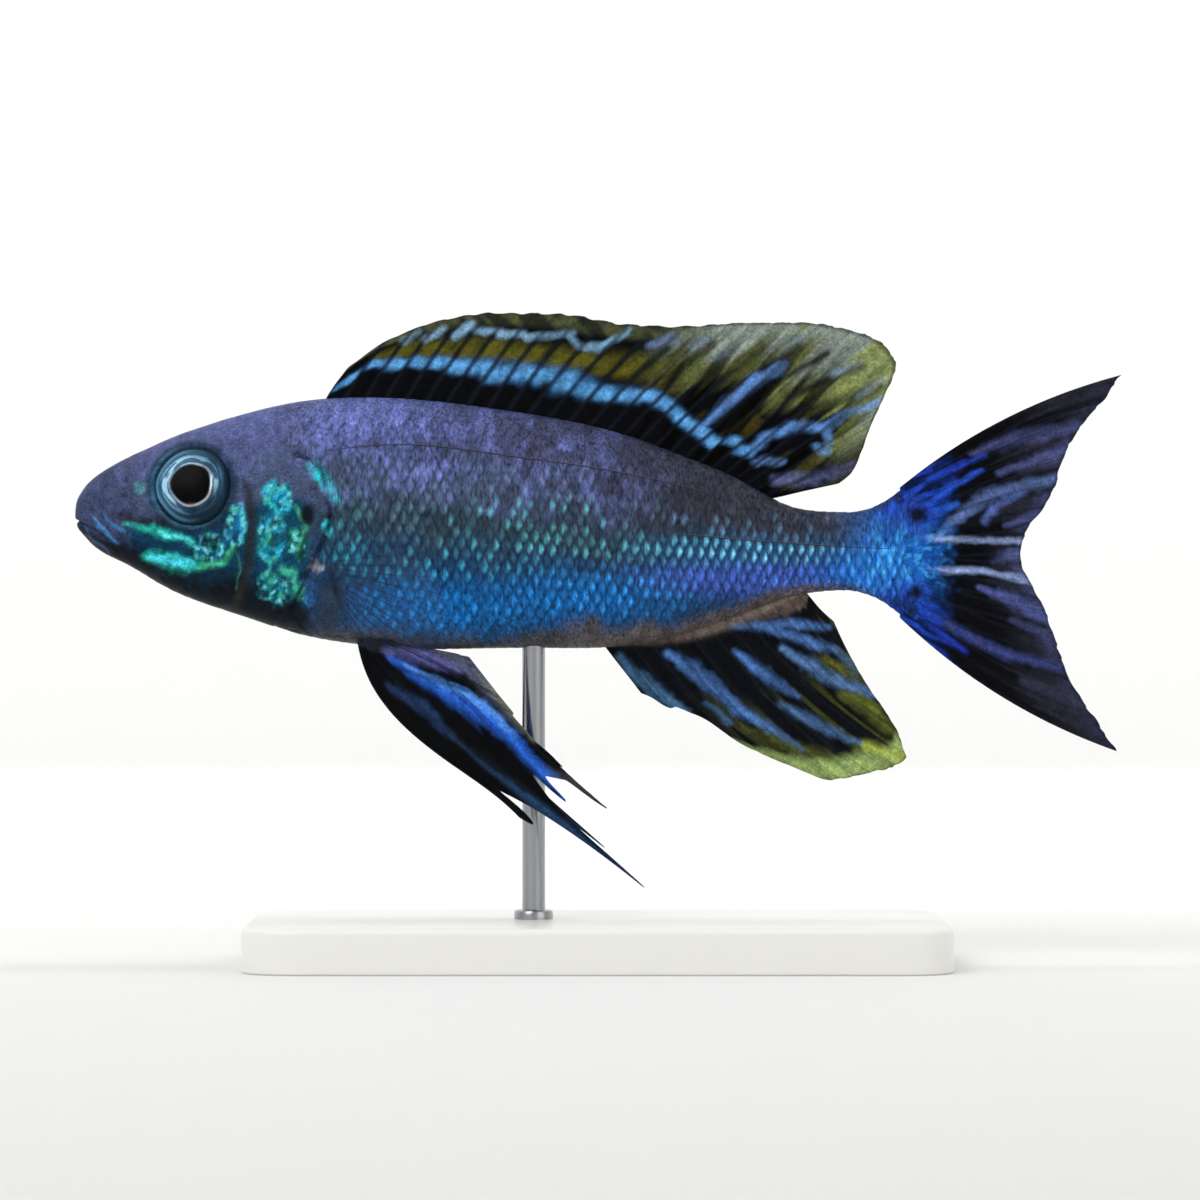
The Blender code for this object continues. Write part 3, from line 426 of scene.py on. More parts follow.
marks = {
    "backFront": "#4c5788", "backMid": "#3d4363", "backRear": "#2f323e", "tailBack": "#303a4c",
    "shoulder": "#3e4a66", "midGrey": "#2a3c4b", "lowBlue": "#183c62", "azure": "#0b5698", "violetBlue": "#324a94",
    "rearBlue": "#1b456c",
    "rootBlue": "#1c58ac", "bellyGrey": "#403f42", "analBrown": "#524b4a",
    "crown": "#4c5480", "snout": "#394160", "templeGrey": "#414e6b",
    "cheekTeal": "#07344e", "coverTeal": "#083f5a", "night": "#050a11", "grooveShade": "#24241f", "bright": "#7c86d4",
    "dull": "#37343d", "cyan": "#74e2ee", "green": "#3cbf90", "shade": "#1d1922",
    "glows": (  # centre, radii, colour, strength
        ((28.6, 2.4), (3.2, 6.4), "#176a9a", 1.0), ((24.6, -1.6), (5.4, 4.4), "#12587e", 0.9),
        ((36.4, 7.4), (4.0, 4.2), "#1fa8c8", 1.0), ((35.0, 0.2), (3.6, 6.4), "#1790b0", 1.0),
        ((35.8, -8.0), (4.8, 5.0), "#126f80", 1.0), ((39.8, -0.6), (2.6, 4.6), "#14603c", 0.8),
        ((12.0, 9.0), (1.9, 1.7), "#4a8a94", 0.7), ((44.9, 1.8), (1.5, 2.3), "#2cbccc", 1.0),
        ((41.2, -9.4), (2.6, 3.6), "#2d6ab0", 0.9),
    ),
    "faceStreaks": (  # path, widths, colour, strength
        (((8.6, 4.4), (14.0, 3.4), (20.0, 2.2), (27.6, 2.6)), (0.8, 1.2, 1.0, 0.6), "#241d28", 0.85),
        (((9.4, 2.9), (15.4, 1.3), (21.2, -0.2)), (0.6, 0.9, 0.8), "#22b09c", 1.0),
        (((15.4, 1.2), (20.8, -0.2)), (0.3, 0.6), "#5ce0ea", 1.0),
        (((13.2, -2.7), (17.9, -3.9), (22.4, -4.8)), (1.2, 1.7, 1.2), "#1fae98", 1.0),
        (((13.8, -2.9), (18.0, -3.9), (21.6, -4.6)), (0.8, 1.3, 0.8), "#4adcf0", 1.0),
        (((22.0, -5.1), (26.6, -4.2), (28.8, -1.0)), (0.7, 0.7, 0.6), "#3cb47c", 0.9),
        (((29.0, -0.9), (29.4, -4.6), (28.8, -8.6)), (0.3, 0.3, 0.2), "#3c7c62", 0.7),
        (((29.8, 6.2), (30.4, 3.0), (29.6, -0.8)), (0.3, 0.4, 0.3), "#5cd0ea", 0.8),
        (((37.0, -5.2), (39.2, -5.4), (39.4, -9.6)), (0.7, 0.8, 0.7), "#48c8a0", 0.9),
        (((39.4, 5.8), (41.2, 2.4), (39.8, -1.6)), (0.4, 0.5, 0.4), "#4aae78", 0.7),
        (((42.4, 12.8), (44.6, 9.8), (46.2, 7.2)), (1.0, 1.4, 0.9), "#30d0e4", 1.0),
        (((42.3, -4.6), (44.2, -4.8)), (0.6, 0.5), "#b4b8c6", 0.85),
        (((3.6, 3.9), (6.0, 1.4), (8.2, -0.6)), (0.35, 0.5, 0.4), "#3f7cb8", 0.95),
        (((5.4, 4.6), (8.0, 2.4), (9.4, 1.0)), (0.3, 0.45, 0.3), "#3c74aa", 0.9),
        (((2.2, 2.4), (4.0, 0.0), (6.4, -2.4)), (0.25, 0.4, 0.3), "#2c5f94", 0.8),
    ),
    "rootSpots": (((147.6, 4.4), (2.9, 2.2)), ((147.2, -9.2), (2.2, 1.8))),
    "lateralLines": (
        ((44.6, 15.4), (52.0, 16.3), (64.1, 16.2), (76.0, 14.6), (85.1, 13.4), (100.8, 10.7), (112.0, 8.0)),
        ((101.0, 1.6), (110.0, 0.6), (120.0, -0.2), (132.0, -1.0), (143.0, -1.6)),
    ),
}


def bodyColour(d, h):
    back, belly, _ = section(d)
    rise = (h - belly) / np.maximum(back - belly, 1)
    fine, broad = flecks(d, h, 0.8, 2), softNoise(d + 40, h, 4.5)
    level = rise + 0.10 * (broad - 0.5) + 0.06 * (fine - 0.5)
    colour = np.zeros(np.shape(d) + (3,)) + light(marks["backMid"])
    colour = paint(colour, 1 - smoothStep(48, 80, d), marks["backFront"])
    colour = paint(colour, smoothStep(86, 110, d), marks["backRear"])
    colour = paint(colour, smoothStep(122, 134, d), marks["tailBack"])
    colour = paint(colour, (1 - smoothStep(0.70, 0.84, level)) * (1 - smoothStep(70, 100, d)), marks["shoulder"])
    colour = paint(colour, 1 - smoothStep(0.50, 0.68, level), marks["midGrey"])
    colour = paint(colour, (1 - smoothStep(0.28, 0.50, level)) * smoothStep(36, 44, d), marks["lowBlue"])
    colour = paint(colour, blob(d, h, (64.0, -11.6), (25.0, 7.4), 0.9), marks["azure"], 1.0)
    colour = paint(colour, blob(d, h, (88.0, -10.4), (24.0, 6.8), 0.9), marks["azure"], 0.9)
    colour = paint(colour, blob(d, h, (118.0, -6.6), (27.0, 5.4), 0.8), marks["violetBlue"], 0.95)
    colour = paint(colour, blob(d, h, (116.0, -1.8), (30.0, 4.2), 0.8), marks["rearBlue"], 0.85)
    colour = paint(colour, blob(d, h, (140.0, -5.6), (15.0, 7.5), 0.8), marks["rootBlue"], 1.0)
    colour = paint(colour, 1 - smoothStep(0.03, 0.11, level), marks["bellyGrey"], 0.95)
    brown = smoothStep(82, 94, d) * (1 - smoothStep(128, 134, d)) * (1 - smoothStep(0.06, 0.14, level))
    colour = paint(colour, brown, marks["analBrown"], 0.95)
    colour = paintFace(colour, d, h, level)
    upper, tone = smoothStep(0.52, 0.64, level), 0.5 * flecks(d, 0.5 * h, 0.8, 40) + 0.5 * flecks(d, h, 2.6, 52)
    upper = upper * (0.3 + 0.7 * smoothStep(36, 48, d))
    colour = paint(colour, upper * smoothStep(0.52, 0.70, tone) * (1 - smoothStep(82, 112, d)), marks["bright"], 0.36)
    colour = paint(colour, upper * (1 - smoothStep(0.32, 0.50, tone)), marks["dull"], 0.36)
    colour = paintRoot(colour, d, h)
    return colour * (0.62 + 0.76 * fine[..., None])


def paintFace(colour, d, h, level):
    face = 1 - smoothStep(40.0, 43.5, d)
    broad, specks = flecks(d + 7, h, 1.9, 5), smoothStep(0.34, 0.60, flecks(d, h, 0.6, 3))
    ragged = 1.1 * (flecks(d, h, 1.1, 77) - 0.5)
    colour = paint(colour, face, marks["templeGrey"])
    colour = paint(colour, face * smoothStep(0.68, 0.84, level), marks["crown"])
    colour = paint(colour, 1 - smoothStep(8.0, 16.0, d), marks["snout"])
    lower = 1 - smoothStep(0.2, 3.0, h - 0.13 * d + 3.0 * (broad - 0.5))
    colour = paint(colour, face * lower * smoothStep(7, 12, d), marks["cheekTeal"])
    edge, edgeSide, _ = fromPath(d, h, coverPath)
    inside = blob(d, h, (36.6, -0.8), (6.4, 14.0), 0.6)
    cover = smoothStep(0.3, 0.7, inside + ragged) * smoothStep(0.0, 0.3, inside) * (edgeSide < 0)
    colour = paint(colour, cover, marks["coverTeal"])
    colour = paint(colour, face * (1 - smoothStep(0.08, 0.30, level)), marks["night"], 0.95)
    colour = paint(colour, (1 - smoothStep(0.6, 3.4, h + 0.35 * d)) * (1 - smoothStep(8, 13, d)), marks["night"], 0.75)
    glow = np.zeros(np.shape(d))
    for centre, radii, code, strength in marks["glows"]:
        inside = blob(d, h, centre, radii, 0.9)
        spot = smoothStep(0.15, 0.65, inside + ragged) * smoothStep(0.0, 0.3, inside)
        colour = paint(colour, spot * (0.3 + 0.7 * specks), code, strength)
        glow = np.maximum(glow, spot * (d > 20) * (d < 41))
    colour = paint(colour, glow * smoothStep(0.50, 0.78, flecks(d + 3, h, 0.55, 9)), marks["cyan"], 0.8)
    colour = paint(colour, glow * smoothStep(0.54, 0.72, flecks(d + 60, h, 0.9, 20)), marks["green"], 0.5)
    colour = paint(colour, glow * smoothStep(0.55, 0.70, flecks(d + 90, h, 1.0, 31)), marks["night"], 0.75)
    cheek, cheekSide, _ = fromPath(d, h, cheekPath)
    # painted shade: a dark band in the groove just behind the cheek's raised edge
    colour = paint(colour, bell(cheek - 0.9, 0.9) * (h < 10) * (cheekSide > 0), marks["grooveShade"], 0.8)
    colour = paintStreaks(colour, d, h, marks["faceStreaks"], 0.5 + 0.5 * specks, 0.9, 1.4)
    # painted shade: a near-black band just behind the gill cover's overhanging edge
    colour = paint(colour, bell(edge - 0.45, 0.45) * (edgeSide > 0) * (d > 34), marks["night"], 0.75)
    colour = paint(colour, blob(d, h, (41.4, 4.2), (1.7, 2.6), 0.6), marks["night"], 0.95)
    # painted shade: a grey-dark patch behind the gill cover's edge, around the pectoral fin's root
    colour = paint(colour, blob(d, h, (45.4, -11.6), (3.4, 7.0), 0.7) * (edgeSide > 0), "#2c3744", 0.85)
    eye = np.hypot(d - head["eye"][0], h - head["eye"][1]) - head["eyeRadius"]
    left = smoothStep(25.0, 17.0, d + 0.5 * (h - head["eye"][1]))
    colour = paint(colour, 1 - smoothStep(0.3, 1.7, eye), "#10263a", 0.92)
    return paint(colour, bell(eye - 0.2, 0.4) * (0.1 + 0.9 * left), "#3f748f", 0.55)


def paintRoot(colour, d, h):  # the tail's root, alike on the skin and on the fin, with streaks that fan out
    zone = smoothStep(132, 143, d) * (1 - smoothStep(148.0, 155.0, d + 5 * (flecks(d, h, 1.1, 8) - 0.5)))
    fan = smoothStep(0.30, 0.62, softNoise(36 * (h + 2.5) / np.maximum(d - 118, 8), 0.3 * d))
    outer = smoothStep(4.0, 8.0, np.abs(h + 2.4)) * smoothStep(138, 143, d)
    colour = paint(colour, zone * bell(h + 2.8, 9.5), "#1a5cb6", 0.95)
    colour = paint(colour, zone * outer, "#0b1740", 0.85)
    colour = paint(colour, zone * outer * fan, "#1f46b8", 0.9)
    colour = paint(colour, zone * smoothStep(0.54, 0.68, flecks(d + 5, h, 0.6, 14)) * bell(h + 3, 5), "#40a8e8", 0.75)
    for centre, radii in marks["rootSpots"]:
        colour = paint(colour, blob(d, h, centre, (radii[0] * 1.7, radii[1] * 1.7), 0.6), "#2a54c8", 0.7)
        colour = paint(colour, blob(d, h, centre, (radii[0] * 1.15, radii[1] * 1.15), 0.8), "#040508", 0.97)
    return colour


# Skin: one closed surface from snout to tail root

skinLooks = {
    "headStep": 0.24, "bodyStep": 0.9, "headEnd": 60.0, "sides": 248,
    "grain": 2400.0, "shade": 0.5, "bump": 0.25,
    "shader": {"Roughness": 0.42, "Coat Weight": 0.01, "Coat Roughness": 0.25, "Specular IOR Level": 0.06},
}


def buildSkin():
    looks = skinLooks
    fine = np.arange(0.06, looks["headEnd"], looks["headStep"])
    coarse = np.arange(looks["headEnd"], trunkKnots[-1], looks["bodyStep"])
    t = np.concatenate([fine, coarse, trunkKnots[-1:]])
    sides, rows = looks["sides"], len(t)
    angle = np.arange(sides) * 2 * math.pi / sides
    grid = lifted(trunkPoint, t[:, None], angle[None, :], 0.0)
    nose = np.array([0.12, 0.0, stations[0, 1]])
    tail = grid[-1].mean(axis=0) + (0.2, 0, 0)
    points = np.concatenate([grid.reshape(-1, 3), nose[None], tail[None]])
    quads, caps = tubeFaces(rows, sides)
    along = t / trunkKnots[-1]
    row, column = np.divmod(quads, sides)
    column = np.where((column == 0) & (np.max(column, axis=1, keepdims=True) > sides / 2), sides, column)
    quadMap = np.stack([along[row], column / sides], axis=-1).reshape(-1, 2)
    capMap = np.stack([np.repeat([0.0, 1.0], sides * 3), np.repeat(np.tile(angle / (2 * math.pi), 2), 3)], axis=-1)
    colour = bodyColour(points[:, 0], points[:, 2])
    maps = {"OFBake": np.concatenate([quadMap, capMap]) * 0.996 + 0.002}
    return makePiece("skin", points, quads, caps, colour, finishMaterial("wetSkin", looks), maps)


# Scales: rows keep a fixed distance from the flank's widest line, measured round the body.
# Each scale is a domed patch that rises rearwards and covers the fronts of those behind it.

scaleLooks = {
    "length": 1.98, "rowGap": 1.92, "halfWidth": 1.04,
    "across": (-1.0, -0.93, -0.55, 0.0, 0.55, 0.93, 1.0),
    "along": (0.0, 0.3, 0.5, 0.62, 0.75, 0.88, 0.97, 1.0),
    "frontLift": 0.02, "rearLift": 0.17, "dome": 0.02, "tuck": -0.12,
    "grain": 2300.0, "stretch": (1.0, 1.0, 0.28), "shade": 0.75, "bump": 0.25,
    "shader": {"Roughness": 0.40, "Coat Weight": 0.01, "Coat Roughness": 0.25, "Specular IOR Level": 0.07},
    "bars": (  # centre, radii, colour, strength and least share of the scales that show a bright bar
        ((60.0, 12.0), (15.0, 4.2), "#7f86ea", 1.0, 0.3),
        ((84.0, 10.2), (20.0, 5.0), "#7486bc", 0.75, -0.1),
        ((80.0, 4.0), (30.0, 5.6), "#5cb8c6", 1.0, -0.4),
        ((88.0, -1.2), (42.0, 3.0), "#66d0dc", 1.0, 0.05),
        ((66.0, -4.6), (26.0, 4.6), "#3eb0d0", 1.0, 0.0),
        ((64.0, -11.6), (26.0, 7.0), "#2498e8", 1.0, 0.1),
        ((92.0, -9.0), (24.0, 6.4), "#3a9aec", 1.1, 0.25),
        ((118.0, -2.2), (32.0, 3.4), "#7cd0f6", 1.2, 0.4),
        ((118.0, -6.4), (26.0, 3.8), "#5c84f4", 1.0, 0.35),
        ((140.0, -4.6), (10.0, 7.5), "#4cacf6", 1.1, 0.3),
        ((48.0, 1.0), (6.0, 12.0), "#38b4bd", 0.95, -0.1),
        ((112.0, 2.6), (30.0, 3.0), "#6aa4cc", 0.8, -0.25),
        ((56.0, 6.0), (18.0, 9.0), "#5c7c8c", 0.8, 0.1),
        ((54.0, 20.0), (22.0, 6.0), "#7077d0", 0.8, 0.1),
    ),
}
girth = {"d": np.linspace(16, 151, 320), "w": np.linspace(-34, 34, 341)}


def girthTable():  # for each distance, the section's angle by arc length from its widest point
    angle = np.linspace(-0.6, math.pi + 0.6, 900)
    table = np.empty((len(girth["d"]), len(girth["w"])))
    for i, d in enumerate(girth["d"]):
        line = flankPoint(d, angle)[:, 1:]
        arc = np.concatenate([[0.0], np.cumsum(np.linalg.norm(np.diff(line, axis=0), axis=1))])
        arc -= np.interp(math.pi / 2, angle, arc)
        table[i] = np.interp(-girth["w"], arc, angle)
    return table


girth["angle"] = girthTable()


def angleAt(d, w):  # the table read between its lines; w is positive towards the back
    x = np.clip((d - girth["d"][0]) / (girth["d"][1] - girth["d"][0]), 0, len(girth["d"]) - 1.001)
    y = np.clip((w - girth["w"][0]) / (girth["w"][1] - girth["w"][0]), 0, len(girth["w"]) - 1.001)
    i, j = x.astype(int), y.astype(int)
    a, b = x - i, y - j
    table = girth["angle"]
    low = table[i, j] * (1 - a) + table[i + 1, j] * a
    high = table[i, j + 1] * (1 - a) + table[i + 1, j + 1] * a
    return low * (1 - b) + high * b


def scaleCentres(looks, region, seed):  # staggered rows, a little uneven, kept where region(d, h) is true
    rng = np.random.default_rng(seed)
    steps = looks["length"] * np.linspace(1.06, 0.84, 90)
    column = 17.0 + np.cumsum(steps)
    row = np.arange(-18, 19)
    d = column[:, None] + (row[None, :] % 2) * looks["length"] / 2
    w = np.broadcast_to(row[None, :] * looks["rowGap"], d.shape)
    d = d + rng.normal(0, 0.04, d.shape)
    w = w + rng.normal(0, 0.04, d.shape)
    place = flankPoint(d, angleAt(d, w))
    keep = (angleAt(d, w) > 0.02) & (angleAt(d, w) < math.pi - 0.02) & region(place[..., 0], place[..., 2])
    return d[keep], w[keep], rng.random(keep.sum())


def buildScales(name, hand, looks, region, material):
    d, w, chance = scaleCentres(looks, region, 21)
    share = np.array(looks["along"])[None, :, None]
    v = np.array(looks["across"])[None, None, :]
    small = (1 - 0.16 * smoothStep(95, 140, d))[:, None, None]
    local = -0.85 + 1.45 * share - 0.5 * v**2 * share
    x = d[:, None, None] + looks["length"] * small * local
    y = w[:, None, None] + looks["rowGap"] * looks["halfWidth"] * v * (0.8 + 0.2 * np.sin(math.pi * share))
    height = flankPoint(d, angleAt(d, w))[:, 2]
    back, belly, _ = section(d)
    rise = (height - belly) / (back - belly)
    nape = smoothStep(0.5, 0.7, rise) * (1 - smoothStep(42, 62, d))
    strong = (1 - 0.5 * smoothStep(0.68, 0.88, rise)) * (0.6 + 0.4 * smoothStep(0.05, 0.2, rise)) * (1 - 0.7 * nape)
    strong = strong[:, None, None]
    lift = looks["frontLift"] + (looks["rearLift"] - looks["frontLift"]) * share * (1 - 0.35 * v**4)
    lift = looks["frontLift"] + (lift - looks["frontLift"] + looks["dome"] * (1 - v**2)) * strong
    rim = (share > 0.99) | (share < 0.01) | (np.abs(v) > 0.99)
    lift = np.where(rim, looks["tuck"], lift)
    grid = lifted(flankPoint, x, angleAt(x, y), lift)
    root = bodyColour(d, height)[:, None, None, :]
    colour = root * 0.25 + 0.75 * bodyColour(grid[..., 0], grid[..., 2])
    edge = np.maximum(smoothStep(0.84, 1.0, share), smoothStep(0.86, 1.0, np.abs(v))) * strong
    shade = (0.84 + 0.32 * chance)[:, None, None]
    colour = colour * (shade * (1.04 - 0.2 * edge))[..., None]
    bar = bell(local + 0.5 * v**2 * share - 0.17 - 0.16 * v, 0.16) * bell(v, 0.38)
    for centre, radii, code, strength, least in looks["bars"]:
        shown = np.clip(least + 1.7 * chance**1.5, 0, 1)
        zone = blob(d, height, centre, radii, 0.8) * shown
        colour = paint(colour, bar * zone[:, None, None], code, strength)
    grid[..., 1] *= hand
    rows, columns = grid.shape[1:3]
    faces = gridFaces(rows, columns)
    if hand > 0:
        faces = faces[:, ::-1]
    faces = (faces[None] + np.arange(len(d))[:, None, None] * rows * columns).reshape(-1, 4)
    turn = angleAt(d, w) / (2 * math.pi)
    place = np.stack([d / stations[-1, 0], turn if hand > 0 else 1 - turn], axis=-1)
    spread = np.stack(np.broadcast_arrays(2 * share[0] - 1, v[0]), axis=-1).reshape(-1, 2)
    patch = (place[:, None, :] + 0.0015 * spread[None]).reshape(-1, 2)
    return makePiece(name, grid, faces, [], colour, material, {"OFBake": patch[faces.ravel()]})


def scaledRegion(d, h):  # behind the gill cover's edge and the nape, clear of the pectoral root, ragged at the tail
    gap, side, _ = fromPath(d, h, coverPath)
    nape = (h > 13.2) & (d > 42.0)
    palm = np.hypot((d - 45.0) / 3.0, (h + 10.6) / 6.6) < 1
    return (d < 144.0 + 4 * softNoise(h, 0 * d, 1.6)) & ~palm & (((side > 0) & (gap > 1.3) & (d > 38)) | nape)


def buildLateralLines(name, hand, material):
    # a thin ridge on the flank along each path, pale grey above and painted dark below as painted shade
    paths = [smoothPath(path, 120) for path in marks["lateralLines"]]
    line = np.stack([np.stack([p[:, 0], sideWidth(p[:, 0], p[:, 1]) - 0.13, p[:, 1]], axis=-1) for p in paths])
    line[..., 1] *= hand
    fade = np.sin(math.pi * np.linspace(0.03, 0.97, line.shape[1])) ** 0.5
    tubes, quads, caps, upward = sweptTubes(line, 0.12 * fade, 8)
    # painted shade: faces turned down keep the near-black, and only faces turned up get the line's pale grey
    colour = paint(np.zeros(upward.shape + (3,)) + light(marks["night"]), smoothStep(-0.8, -0.2, upward), "#5c5b66", 0.7)
    return makePiece(name, tubes, quads, caps, colour, material)


# Eyes: a flattened ball with a raised iris, seen along the head's normal

eyeLooks = {
    "rings": 76, "spokes": 160, "pupil": 0.50,
    "white": "#e4ecf4", "paleBlue": "#9cc8e0", "midBlue": "#2b6288", "navy": "#0a1826", "teal": "#4f8cae",
    "grain": 3000.0, "shade": 0.25, "bump": 0.02,
    "shader": {"Roughness": 0.35, "Coat Weight": 0.015, "Coat Roughness": 0.05, "Specular IOR Level": 0.04},
}


def eyeFrame(hand):  # centre and axes of the eyeball on one side
    x, z = head["eye"]
    small = 0.25
    along = (sideWidth(x + small, z) - sideWidth(x - small, z)) / (2 * small)
    upward = (sideWidth(x, z + small) - sideWidth(x, z - small)) / (2 * small)
    normal = np.array([-along, hand, -upward])
    normal /= np.linalg.norm(normal)
    centre = np.array([x, hand * sideWidth(x, z), z]) + normal * (head["eyeBulge"] - head["eyeDepth"])
    up = np.cross(normal, (1.0, 0.0, 0.0))
    up *= np.sign(up[2]) / np.linalg.norm(up)
    forward = np.array([1.0, 0, 0]) - normal * normal[0]
    return centre, forward / np.linalg.norm(forward), up, normal


def eyeColour(reach, turn):  # brushed arcs round the pupil, bright ahead, above and behind, and dark below
    looks = eyeLooks
    reach = reach * (1 + 0.025 * np.cos(3 * turn + 0.6) + 0.016 * np.cos(5 * turn))
    bright = np.maximum(np.clip(0.42 + 0.68 * np.cos(turn - 2.6), 0.04, 1), 0.6 * bell(np.sin((turn - 0.2) / 2), 0.3))
    arcs = 0.5 * softNoise(2.6 * np.cos(turn) + 9, reach * 24) + 0.5 * softNoise(2.6 * np.sin(turn) + 40, reach * 24 + 7)
    arcs = smoothStep(0.42, 0.58, arcs)
    rim = np.clip(0.35 + 0.75 * np.cos(turn - 3.0), 0.05, 1)
    colour = np.zeros(np.shape(reach) + (3,)) + light(looks["navy"])
    colour = paint(colour, bell(reach - 0.68, 0.15) * (0.12 + 0.88 * bright), looks["midBlue"], 0.9)
    colour = paint(colour, 1.3 * bell(reach - 0.65, 0.11) * bright * (0.08 + 0.92 * arcs), looks["paleBlue"], 1.0)
    colour = paint(colour, bell(reach - 0.89, 0.04) * rim * (0.4 + 0.6 * arcs), looks["teal"], 1.0)
    glint = (0.3 + 0.7 * np.clip(0.5 + 0.6 * np.cos(turn + 0.9), 0, 1)) * (0.4 + 0.6 * arcs)
    colour = paint(colour, 1.3 * bell(reach - looks["pupil"] - 0.045, 0.026) * glint, looks["white"], 1.0)
    notch = bell(reach - looks["pupil"], 0.03) * bell(np.sin(turn) + 1, 0.02)
    colour = paint(colour, 1 - smoothStep(looks["pupil"] - 0.02, looks["pupil"] + 0.015, reach), "#010102", 1.0)
    return paint(colour, notch, "#5a2430", 0.8)


def buildEye(name, hand, material):  # ellipsoid: wide sin(a) across and deep cos(a) along the normal, a from 0 to pi
    looks = eyeLooks
    centre, forward, up, normal = eyeFrame(hand)
    slope = np.concatenate([np.linspace(0.02, 1.5, looks["rings"]), np.linspace(1.58, 3.1, 14)])[:, None]
    turn = (np.arange(looks["spokes"]) * 2 * math.pi / looks["spokes"])[None, :]
    wide = head["eyeRadius"] * np.sin(slope)
    reach = wide / head["eyeRadius"] + 0 * turn
    iris = smoothStep(0.46, 0.54, reach) * (1 - smoothStep(0.74, 0.9, reach)) * (slope < 1.55)
    deep = head["eyeDepth"] * np.cos(slope) + 0.07 * iris - 0.10 * bell(reach - 0.93, 0.05) * (slope < 1.55)
    across = forward * np.cos(turn)[..., None] + up * np.sin(turn)[..., None]
    grid = centre + wide[..., None] * across + deep[..., None] * normal
    poles = centre + normal * np.array([[head["eyeDepth"]], [-head["eyeDepth"]]])
    points = np.concatenate([grid.reshape(-1, 3), poles])
    quads, caps = tubeFaces(*grid.shape[:2], flip=hand > 0)
    colour = np.where((slope < 1.6)[..., None], eyeColour(reach, turn + 0 * reach), light(looks["navy"]))
    colour = np.concatenate([colour.reshape(-1, 3), light("#010102")[None], light(looks["navy"])[None]])
    return makePiece(name, points, quads, caps, colour, material)


# Fins: rays are ridges of the membrane, split towards the margin where they are soft

finLooks = {
    "grain": 2200.0, "shade": 0.4, "bump": 0.2, "rayShade": 0.38,
    "shader": {"Roughness": 0.5, "Coat Weight": 0.0, "Specular IOR Level": 0.03},
}


def rayRidge(ray, share, soft, width):
    # one bell on each ray; on a soft ray it parts into two, and those into four, and has joints across it
    p = ray - np.round(ray)
    split = soft * 0.17 * smoothStep(0.25, 0.65, share)
    second = soft * 0.075 * smoothStep(0.55, 0.95, share)
    gap = np.abs(np.abs(np.abs(p) - split) - second)
    ridge = bell(gap, width * (1 - 0.45 * share * soft))
    joints = 1 - 0.22 * soft * bell(np.mod(share * 26, 1.0) - 0.5, 0.2)
    return ridge * joints


def buildFin(name, fin, pointAt, colourAt, material, marksAt=None):
    # pointAt gives the middle surface; thickness goes both ways from it along the fin's own normals
    columns = (fin["rays"] - 1) * fin["perRay"] + 1
    ray = np.linspace(0, fin["rays"] - 1, columns)[:, None]
    share = np.linspace(0, 1, fin["rows"])[None, :]
    s = share * fin["reach"](ray)
    ray = ray + 0 * s
    soft = smoothStep(fin["spines"] - 0.6, fin["spines"] - 0.4, ray)
    middle = pointAt(ray, s)
    normal = np.cross(np.gradient(middle, axis=0), np.gradient(middle, axis=1))
    normal /= np.maximum(np.linalg.norm(normal, axis=-1, keepdims=True), 1e-9)
    ridge = rayRidge(ray, s, soft, fin["rayWidth"])
    length = np.linalg.norm(middle[:, -1] - middle[:, 0], axis=-1)[:, None]
    half = fin["membrane"] + ridge * (fin["rayFoot"] + (fin["rayTip"] - fin["rayFoot"]) * share)
    half = half + fin["sheath"] * np.clip(1 - share * length / 4.0, 0, 1) ** 2
    half = half * (1 - 0.55 * smoothStep(0.93, 1.0, share))
    place = middle if marksAt is None else marksAt(ray, s)
    colour = colourAt(place[..., 0], place[..., 2], ray, s)
    colour = colour * (0.62 + 0.76 * flecks(place[..., 0], place[..., 2], 0.6, 4)[..., None])
    colour = paint(colour, ridge, "#1c222c", finLooks["rayShade"])
    points = np.concatenate([middle + normal * half[..., None], middle - normal * half[..., None]])
    return makePiece(name, points, sheetFaces(*middle.shape[:2]), [], np.concatenate([colour, colour]), material)


def medianFin(fin, foot, tip):
    # rays run from foot to tip with a parabola's bow, 4s(1 - s), and wave sideways by share squared
    def pointAt(ray, share):
        ax, az = foot(ray)
        bx, bz = tip(ray)
        bow = fin["bow"](ray) * 4 * share * (1 - share)
        x = ax + (bx - ax) * share - (bz - az) * bow
        z = az + (bz - az) * share + (bx - ax) * bow
        ripple = 0.12 * np.cos(2 * math.pi * ray) * np.sin(math.pi * share)
        y = fin["wave"] * np.sin(ray * fin["waveStep"] + fin.get("wavePhase", 0)) * share**2 + ripple
        return np.stack(np.broadcast_arrays(x, y, z), axis=-1)

    return pointAt


def notched(depth, fray):  # margin drawn in by depth half way between rays, and frayed a little
    return lambda ray: 1 - depth(ray) * smoothStep(0.05, 0.5, np.abs(ray - np.round(ray))) - fray * softNoise(ray * 7, 0 * ray)


def between(ray):  # 0 on a ray and 1 half way to the next
    return smoothStep(0.05, 0.24, np.abs(ray - np.round(ray)))


def combed(ray, s, seed, fine=1.6, long=2.0):  # noise drawn out along the rays
    return softNoise(ray * fine + seed, s * long + seed / 3)


